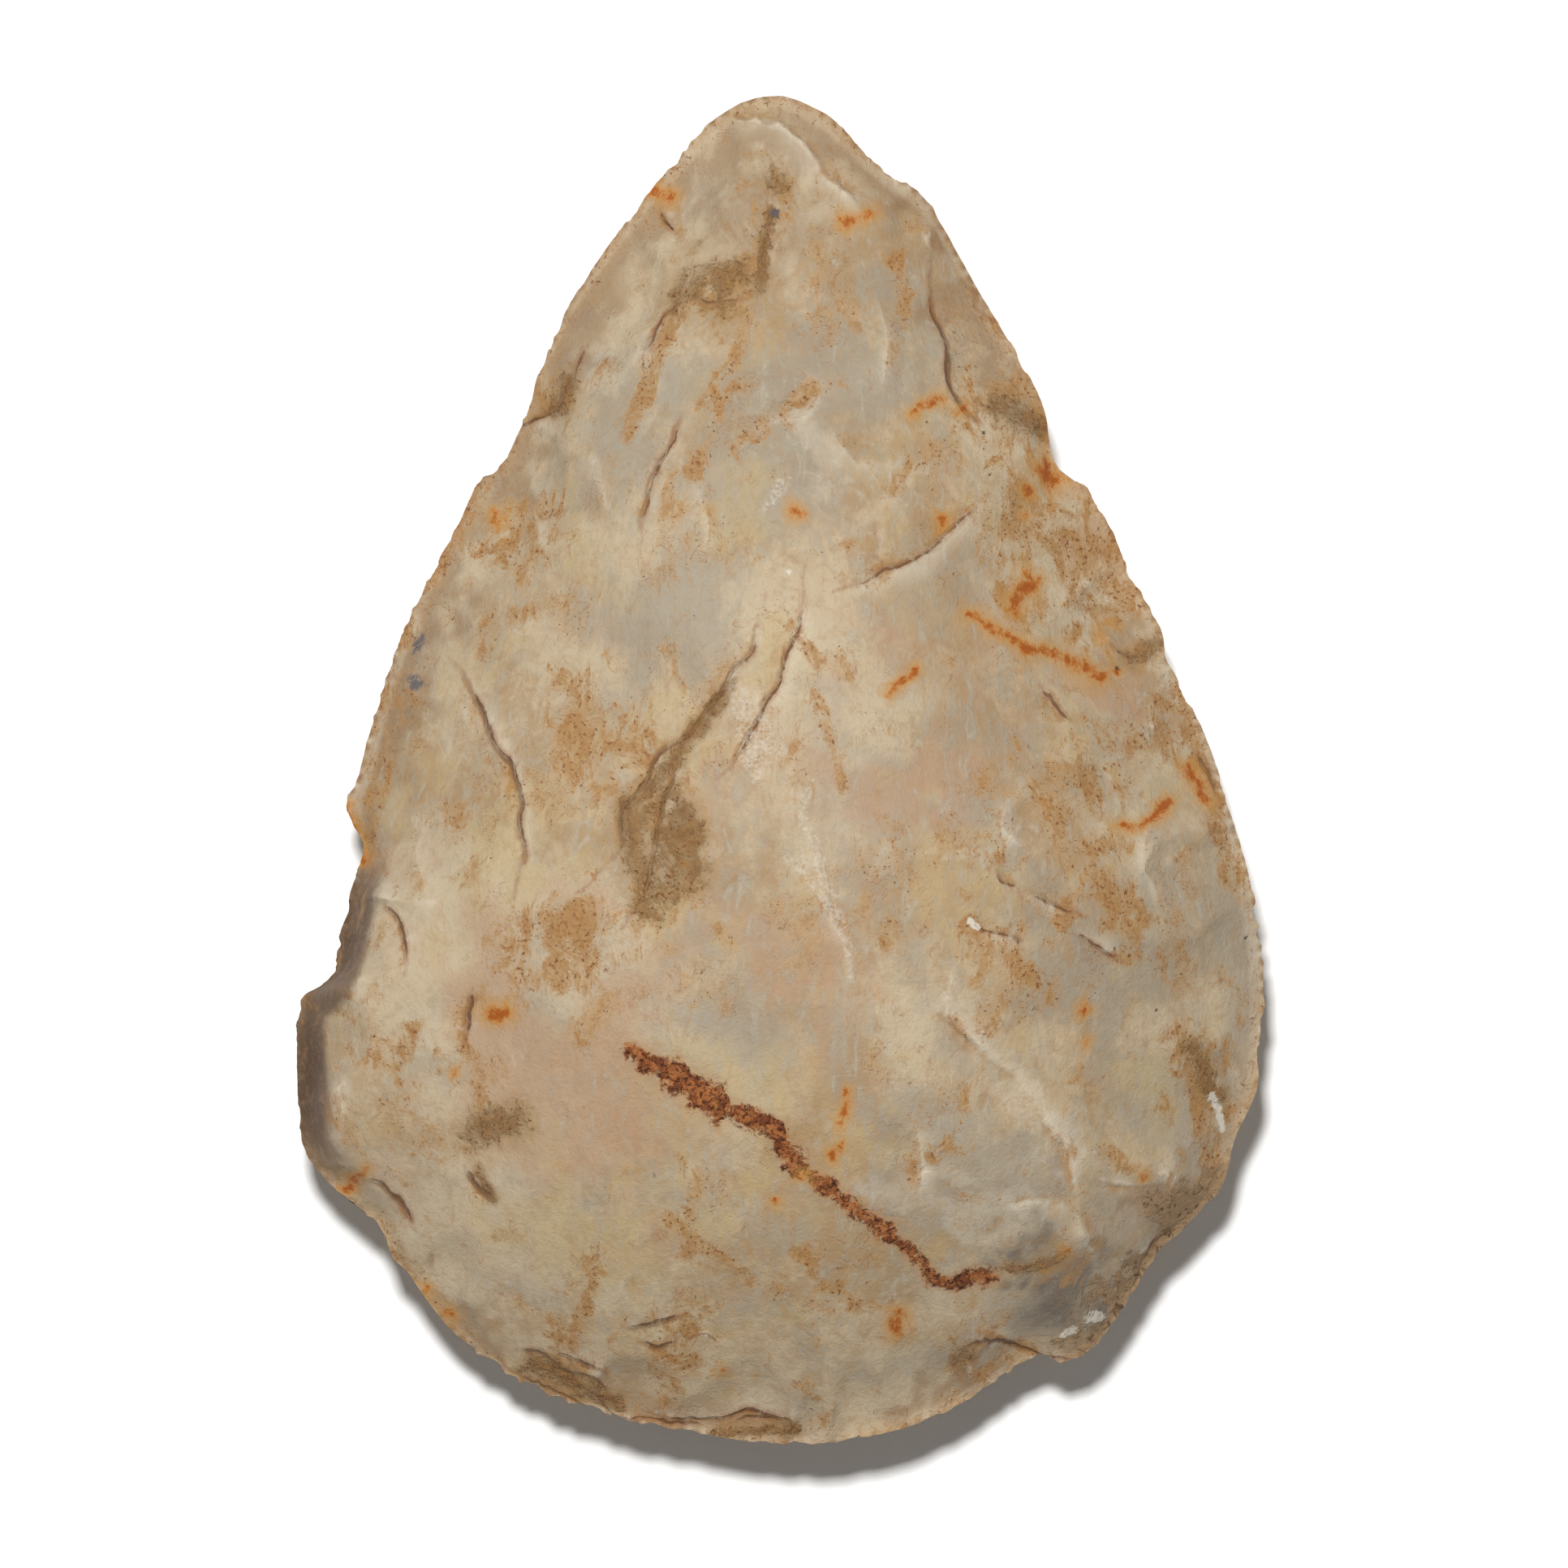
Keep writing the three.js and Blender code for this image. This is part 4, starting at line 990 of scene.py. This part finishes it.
def maths(operation, *values):
    made = tree.nodes.new("ShaderNodeMath")
    made.operation = operation
    for socket, value in zip(made.inputs, values):
        feed(socket, value)
    return made.outputs[0]


def times(*values):
    result = values[0]
    for value in values[1:]:
        result = maths("MULTIPLY", result, value)
    return result


def cut(value, start, end, bottom=0.0, top=1.0):
    """Eases from bottom to top as the value goes from start to end."""
    made = add("ShaderNodeMapRange", Value=value, From_Min=start, From_Max=end, To_Min=bottom, To_Max=top)
    made.interpolation_type = "SMOOTHSTEP"
    return made.outputs[0]


def mixed(mask, under, over):
    """Lays one colour over another where the mask is 1."""
    made = tree.nodes.new("ShaderNodeMix")
    made.data_type = "RGBA"
    sockets = {socket.identifier: socket for socket in made.inputs}
    feed(sockets["Factor_Float"], mask)
    feed(sockets["A_Color"], under)
    feed(sockets["B_Color"], over)
    return next(socket for socket in made.outputs if socket.identifier == "Result_Color")


def stored(name):
    made = tree.nodes.new("ShaderNodeAttribute")
    made.attribute_name = name
    return made.outputs["Fac"]


def lay(mask, over):
    """Lays a colour over the stone's own where the mask is 1."""
    global colour
    colour = mixed(mask, colour, over)


spot = tree.nodes.new("ShaderNodeTexCoord").outputs["Object"]
NOISE_LOW = 0.28  # a noise texture's values hardly go below this or over the next one
NOISE_HIGH = 0.72
SEED_SHIFT = (0.31, 0.17, 0.23)


def noise_of(size, detail, roughness, bend, seed, turn=0.0, stretch=1.0):
    """Noise with lumps of about the given size, evened out to run from 0 to 1."""
    moved = add("ShaderNodeMapping", Vector=spot, Location=[seed * shift for shift in SEED_SHIFT],
                Rotation=(0, 0, turn), Scale=(1, 1 / stretch, 1))
    made = add("ShaderNodeTexNoise", Vector=moved.outputs[0], Scale=1 / size, Detail=detail,
               Roughness=roughness, Distortion=bend)
    evened = add("ShaderNodeMapRange", Value=made.outputs[0], From_Min=NOISE_LOW, From_Max=NOISE_HIGH)
    return evened.outputs[0]


def ragged(name, ground, rough, start, end):
    """A mark's mask, with its border roughened by noise."""
    raised = maths("MULTIPLY_ADD", ground, rough, stored(name))
    return cut(raised, start + rough / 2, end + rough / 2)


def add_up(*values):
    result = values[0]
    for value in values[1:]:
        result = maths("ADD", result, value)
    return result


print("helpers for the shader are ready")

# %% The noises and clouds that the layers share
lumps = noise_of(3 * MM, 4, 0.65, 0.8, seed=3)
crumbs = noise_of(1.1 * MM, 4, 0.75, 0.6, seed=4)
flecks = noise_of(0.45 * MM, 2, 0.6, 0.3, seed=5)
streaks = noise_of(1.8 * MM, 3, 0.65, 1.4, seed=6, turn=math.radians(20), stretch=3.0)
fringe = noise_of(3.4 * MM, 8, 0.78, 0.7, seed=8, turn=math.radians(24), stretch=1.9)
drift = stored("drift")
seep_cloud = stored("seep_cloud")

# %% The stone's own colour, and painted shade where the faces turn from the lamp
CREAM = seen(208, 189, 158)
BUFF = seen(180, 150, 112)
COOL = seen(176, 166, 146)
GREY_CLOUD = seen(166, 157, 141)
SLATE = seen(104, 98, 92)
ROSE = seen(192, 154, 122)
STRAW = seen(204, 180, 132)
MILK = seen(226, 212, 188)
# the brown of the painted shade
SHADE_BROWN = seen(146, 114, 82)

body = add_up(times(drift, 0.4), times(fringe, 0.4), times(lumps, 0.2))
colour = mixed(cut(body, 0.25, 0.6), BUFF, CREAM)
grey_body = add_up(times(stored("grey_cloud"), 0.7), times(streaks, 0.3))
greyed = maths("MULTIPLY_ADD", stored("grey"), 0.3, grey_body)
lay(times(cut(greyed, 0.2, 0.8), 0.65), GREY_CLOUD)
rosy = maths("MULTIPLY_ADD", stored("pink"), 0.5, stored("rose_cloud"))
lay(times(cut(rosy, 0.3, 1.1), 0.65), ROSE)
strawy = maths("MULTIPLY_ADD", stored("yellow"), 0.3, stored("straw_cloud"))
lay(times(cut(strawy, 0.4, 1.0), 0.55), STRAW)
lay(times(cut(streaks, 0.4, 0.85), cut(drift, 0.9, 0.2), 0.5), COOL)
lay(times(ragged("dark_grey", fringe, 1.0, -0.2, 0.9), 0.8), SLATE)
# painted shade where the faces turn away from the lamp
lay(times(ragged("painted_shade", fringe, 1.2, -0.3, 0.9), 0.6), SHADE_BROWN)
lay(times(ragged("pale", lumps, 1.0, 0.1, 1.0), 0.3), MILK)
lay(times(cut(streaks, 0.6, 0.95), cut(fringe, 0.6, 0.3), 0.25), MILK)
lay(times(cut(crumbs, 0.55, 0.1), 0.4), BUFF)

# %% How the stone bends: ridges are rubbed pale and get a painted highlight, and the high side of a cliff is painted lighter
fine_bend = stored("fine_bend")
broad_bend = stored("broad_bend")
side = stored("side")
hollow = stored("hollow")
# painted light: the high side of each cliff is paler
lay(times(cut(side, 0.1, 0.9), 0.35), MILK)
# ridges: rubbed pale, with a painted highlight
lay(times(cut(broad_bend, 0.1, 1.0), 0.35), MILK)
lay(times(cut(fine_bend, 0.3, 1.0), cut(lumps, 0.2, 0.8), 0.45), MILK)

# %% Ochre that has seeped in, most of all into hollows and at the margin
OCHRE_WASH = seen(190, 152, 104)
OCHRE_STAIN = seen(174, 128, 74)
RED_OCHRE = seen(152, 98, 56)
DEEP_OCHRE = seen(120, 72, 40)

edge_distance = maths("MULTIPLY_ADD", fringe, 5.0, maths("SUBTRACT", stored("edge_distance"), 2.5))
near_edge = times(cut(edge_distance, 5.0, 0.0), cut(drift, 0.0, 0.8, 0.6, 1.0))
# the low side of a cliff gets ochre, partly as painted shade
in_hollow = maths("MAXIMUM", cut(broad_bend, -0.1, -1.1), cut(side, -0.05, -0.9))
soaked = maths("MAXIMUM", ragged("ochre", fringe, 1.8, -0.6, 0.9), times(cut(seep_cloud, 0.45, 1.0), 0.75))
soaked = maths("MAXIMUM", soaked, maths("MAXIMUM", times(hollow, 0.9), times(in_hollow, 0.7)))
soaked = maths("MAXIMUM", soaked, times(near_edge, 0.9))
wash = cut(add_up(fringe, soaked), 0.9, 1.6)
lay(times(wash, 0.7), OCHRE_WASH)
stain = cut(add_up(times(fringe, 0.6), times(crumbs, 0.4), times(soaked, 0.6)), 0.95, 1.25)
lay(times(stain, 0.7), OCHRE_STAIN)
deep = cut(add_up(times(fringe, 0.5), times(flecks, 0.5), times(soaked, 0.45)), 1.02, 1.2)
lay(times(deep, 0.75), RED_OCHRE)
thread = cut(maths("ABSOLUTE", maths("SUBTRACT", lumps, 0.5)), 0.035, 0.0)
lay(times(thread, cut(soaked, 0.0, 0.7), 0.5), RED_OCHRE)
dash = cut(maths("ABSOLUTE", maths("SUBTRACT", streaks, 0.62)), 0.035, 0.0)
lay(times(dash, cut(fringe, 0.45, 0.75), cut(seep_cloud, 0.2, 0.7), 0.75), RED_OCHRE)
crease = cut(fine_bend, -0.25, -0.9)
lay(times(crease, cut(fringe, 0.25, 0.65), 0.6), OCHRE_STAIN)
speck = cut(add_up(flecks, times(soaked, 0.3)), 1.05, 1.15)
lay(times(speck, 0.75), DEEP_OCHRE)

# %% Steps, pale lips with a painted highlight, the very edge, and painted shade on the broken walls
LINE_DARK = seen(120, 82, 52)
WALL_SHADE = seen(88, 64, 46)
WALL_SHADE_PALE = seen(128, 98, 74)
UNDER_TINT = seen(165, 138, 106)

# pale lips and ridges: rubbed wear with a painted highlight
lay(times(stored("pale_lip_and_highlight"), cut(crumbs, 0.2, 0.8), 0.5), MILK)
gap = maths("MULTIPLY_ADD", crumbs, -0.2, stored("cliff"))
line = cut(gap, 0.13, -0.02)
lay(times(cut(gap, 0.7, 0.0), cut(fringe, 0.2, 0.7), 0.7), RED_OCHRE)
lay(times(line, cut(fringe, 0.2, 0.6, 0.25, 0.95)), LINE_DARK)
lay(times(cut(stored("edge_distance"), 0.9, 0.1), cut(lumps, 0.2, 0.8), 0.6), DEEP_OCHRE)
lay(times(stored("underside"), 0.5), UNDER_TINT)
# painted shade on the steep broken walls, mottled brown, partly their own colour
grit = add_up(times(crumbs, 0.5), times(fringe, 0.5))
mottled_wall_shade = mixed(cut(grit, 0.35, 0.7), WALL_SHADE, WALL_SHADE_PALE)
lay(times(cut(maths("MULTIPLY_ADD", grit, 1.0, stored("wall_shade")), 0.7, 1.6), 0.9), mottled_wall_shade)

# %% Dirt with the painted shade of the groove, iron, rust, lime and the crumbling corner
DIRT_AND_SHADE_HALO = seen(166, 132, 88)
DIRT_AND_SHADE_PALE = seen(158, 118, 74)
DIRT_AND_SHADE_DARK = seen(118, 84, 52)
IRON_HALO = seen(186, 142, 96)
IRON_PALE = seen(182, 112, 62)
IRON_CORE = seen(124, 68, 40)
IRON_BLACK = seen(66, 36, 24)
RUST_HALO = seen(200, 150, 84)
RUST_PALE = seen(204, 132, 50)
RUST_CORE = seen(166, 80, 20)
LIME_CHIP = seen(228, 218, 200)
FLINT_BLUE = seen(96, 96, 104)
DOT = seen(62, 42, 28)
CRUMB = seen(168, 138, 104)
CRUMB_DARK = seen(96, 72, 50)

# dirt marks, and the painted shade along the central groove
soil = add_up(times(crumbs, 0.45), times(fringe, 0.55))
lay(times(ragged("dirt_and_shade", soil, 2.4, -1.0, 0.4), 0.65), DIRT_AND_SHADE_HALO)
dirt_and_shade = ragged("dirt_and_shade", soil, 3.0, 0.0, 1.1)
lay(times(dirt_and_shade, 0.8), mixed(cut(crumbs, 0.25, 0.75), DIRT_AND_SHADE_DARK, DIRT_AND_SHADE_PALE))
scraps = times(cut(add_up(flecks, times(ragged("dirt_and_shade", soil, 1.8, -0.6, 0.5), 0.3)), 1.0, 1.1), 0.7)
lay(scraps, DEEP_OCHRE)
lay(times(ragged("iron", fringe, 1.8, -0.8, 0.4), 0.55), IRON_HALO)
iron = ragged("iron", soil, 2.4, -0.05, 0.45)
lay(iron, mixed(cut(crumbs, 0.35, 0.7), IRON_PALE, IRON_CORE))
lay(times(iron, cut(flecks, 0.55, 0.75), 0.85), IRON_BLACK)
lay(times(ragged("rust", fringe, 2.0, -0.9, 0.6), 0.6), RUST_HALO)
rust = ragged("rust", soil, 2.0, 0.1, 0.9)
deep_rust = ragged("rust", soil, 2.0, 0.45, 1.0)
lay(times(rust, 0.8), RUST_PALE)
lay(times(deep_rust, 0.85), RUST_CORE)
lay(times(ragged("dots", crumbs, 0.5, 0.3, 0.7), 0.85), DOT)
lay(times(ragged("blue", crumbs, 1.2, 0.1, 0.7), 0.85), FLINT_BLUE)
crystals = times(ragged("scratches", crumbs, 1.0, -0.1, 0.6), cut(flecks, 0.4, 0.7))
lay(times(crystals, 0.4), LIME_CHIP)
crumbly = mixed(cut(crumbs, 0.15, 0.45), CRUMB_DARK, CRUMB)
broken = ragged("crumbly", crumbs, 0.8, -0.1, 0.2)
lay(broken, crumbly)
lime = ragged("lime", crumbs, 1.0, 0.2, 0.5)
lay(times(lime, 0.95), LIME_CHIP)
print(len(tree.nodes), "shader nodes so far")

# %% Gloss and fine relief
crusted = maths("MAXIMUM", ragged("dirt_and_shade", crumbs, 1.0, 0.0, 0.6), ragged("iron", crumbs, 1.0, 0.2, 0.6))
crusted = maths("MAXIMUM", crusted, broken)
gloss = maths("MAXIMUM", cut(lumps, 0.0, 1.0, 0.54, 0.7), times(crusted, 0.85))
FINE_RELIEF = 0.065 * MM  # height of a bump of 1
SPECULAR = 0.22

relief = add_up(times(flecks, 0.4), times(crumbs, 1.1))
relief = maths("ADD", relief, times(crusted, crumbs, 2.0))
relief = maths("SUBTRACT", relief, times(line, 1.5))
bump = add("ShaderNodeBump", Height=relief, Distance=FINE_RELIEF, Strength=1.0)
surface = add("ShaderNodeBsdfPrincipled", Base_Color=colour, Roughness=gloss, Normal=bump.outputs[0])
surface.inputs["Specular IOR Level"].default_value = SPECULAR
output = tree.nodes.new("ShaderNodeOutputMaterial")
tree.links.new(surface.outputs[0], output.inputs["Surface"])
flint_mesh.materials.append(stone)

# %% [markdown]
# ## Floor, light and camera
# The axe lies on a plain pale floor. A small lamp hangs nearly a metre up, a little towards the
# tip, so the shadow falls a few millimetres past the butt, and a pale sky fills the rest. The
# camera looks straight down from nearly a metre, so that the dome swells towards it only a little.

# %% Floor
FLOOR_SIZE = 6.0
PALE = linear(252, 252, 251)
floor_mesh = bpy.data.meshes.new("floor")
ground = bmesh.new()
bmesh.ops.create_grid(ground, x_segments=1, y_segments=1, size=FLOOR_SIZE / 2)
ground.to_mesh(floor_mesh)
ground.free()
floor = bpy.data.objects.new("floor", floor_mesh)
bpy.context.collection.objects.link(floor)
floor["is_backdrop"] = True
pale = bpy.data.materials.new("pale floor")
pale.use_nodes = True
pale.node_tree.nodes["Principled BSDF"].inputs["Base Color"].default_value = PALE
pale.node_tree.nodes["Principled BSDF"].inputs["Roughness"].default_value = 0.9
floor_mesh.materials.append(pale)

# %% Light
KEY_POWER = 9
KEY_SIZE = 0.08  # metres, as the next two
KEY_DISTANCE = 0.95
KEY_LEFT = 0.05
KEY_HEIGHT = math.radians(77)  # angle over the floor
SKY = 0.18

key = bpy.data.objects.new("key light", bpy.data.lights.new("key light", "AREA"))
key.data.energy = KEY_POWER
key.data.size = KEY_SIZE
key.location = (-KEY_LEFT, KEY_DISTANCE * math.cos(KEY_HEIGHT), KEY_DISTANCE * math.sin(KEY_HEIGHT))
key.rotation_euler = (-Vector(key.location)).to_track_quat("-Z", "Y").to_euler()
bpy.context.collection.objects.link(key)

world = bpy.data.worlds.new("pale sky")
world.use_nodes = True
world.node_tree.nodes["Background"].inputs["Color"].default_value = (1, 1, 1, 1)
world.node_tree.nodes["Background"].inputs["Strength"].default_value = SKY
bpy.context.scene.world = world
bpy.context.scene.view_settings.view_transform = "Standard"

# %% Camera
FRAME_WIDTH = 174.4 * MM  # what the picture spans at the height of the flint's edge
LENS = 200  # millimetres on a 36 mm wide sensor
SENSOR = 36
AIM = (0.33 * MM, -1.53 * MM)

camera = bpy.data.objects.new("camera", bpy.data.cameras.new("camera"))
camera.data.lens = LENS
camera.data.sensor_width = SENSOR
camera.data.clip_end = 20
camera.location = (*AIM, EDGE_HEIGHT + FRAME_WIDTH * LENS / SENSOR)
bpy.context.collection.objects.link(camera)
bpy.context.scene.camera = camera

# %% The sizes of the solid and the mesh
bpy.context.view_layer.update()
sizes = {"cad": [list(corner) for corner in cad_box], "visual": [list(corner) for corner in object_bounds()]}
for name, (lowest, highest) in sizes.items():
    print(name, "from", [round(v * 1000, 2) for v in lowest], "to", [round(v * 1000, 2) for v in highest])
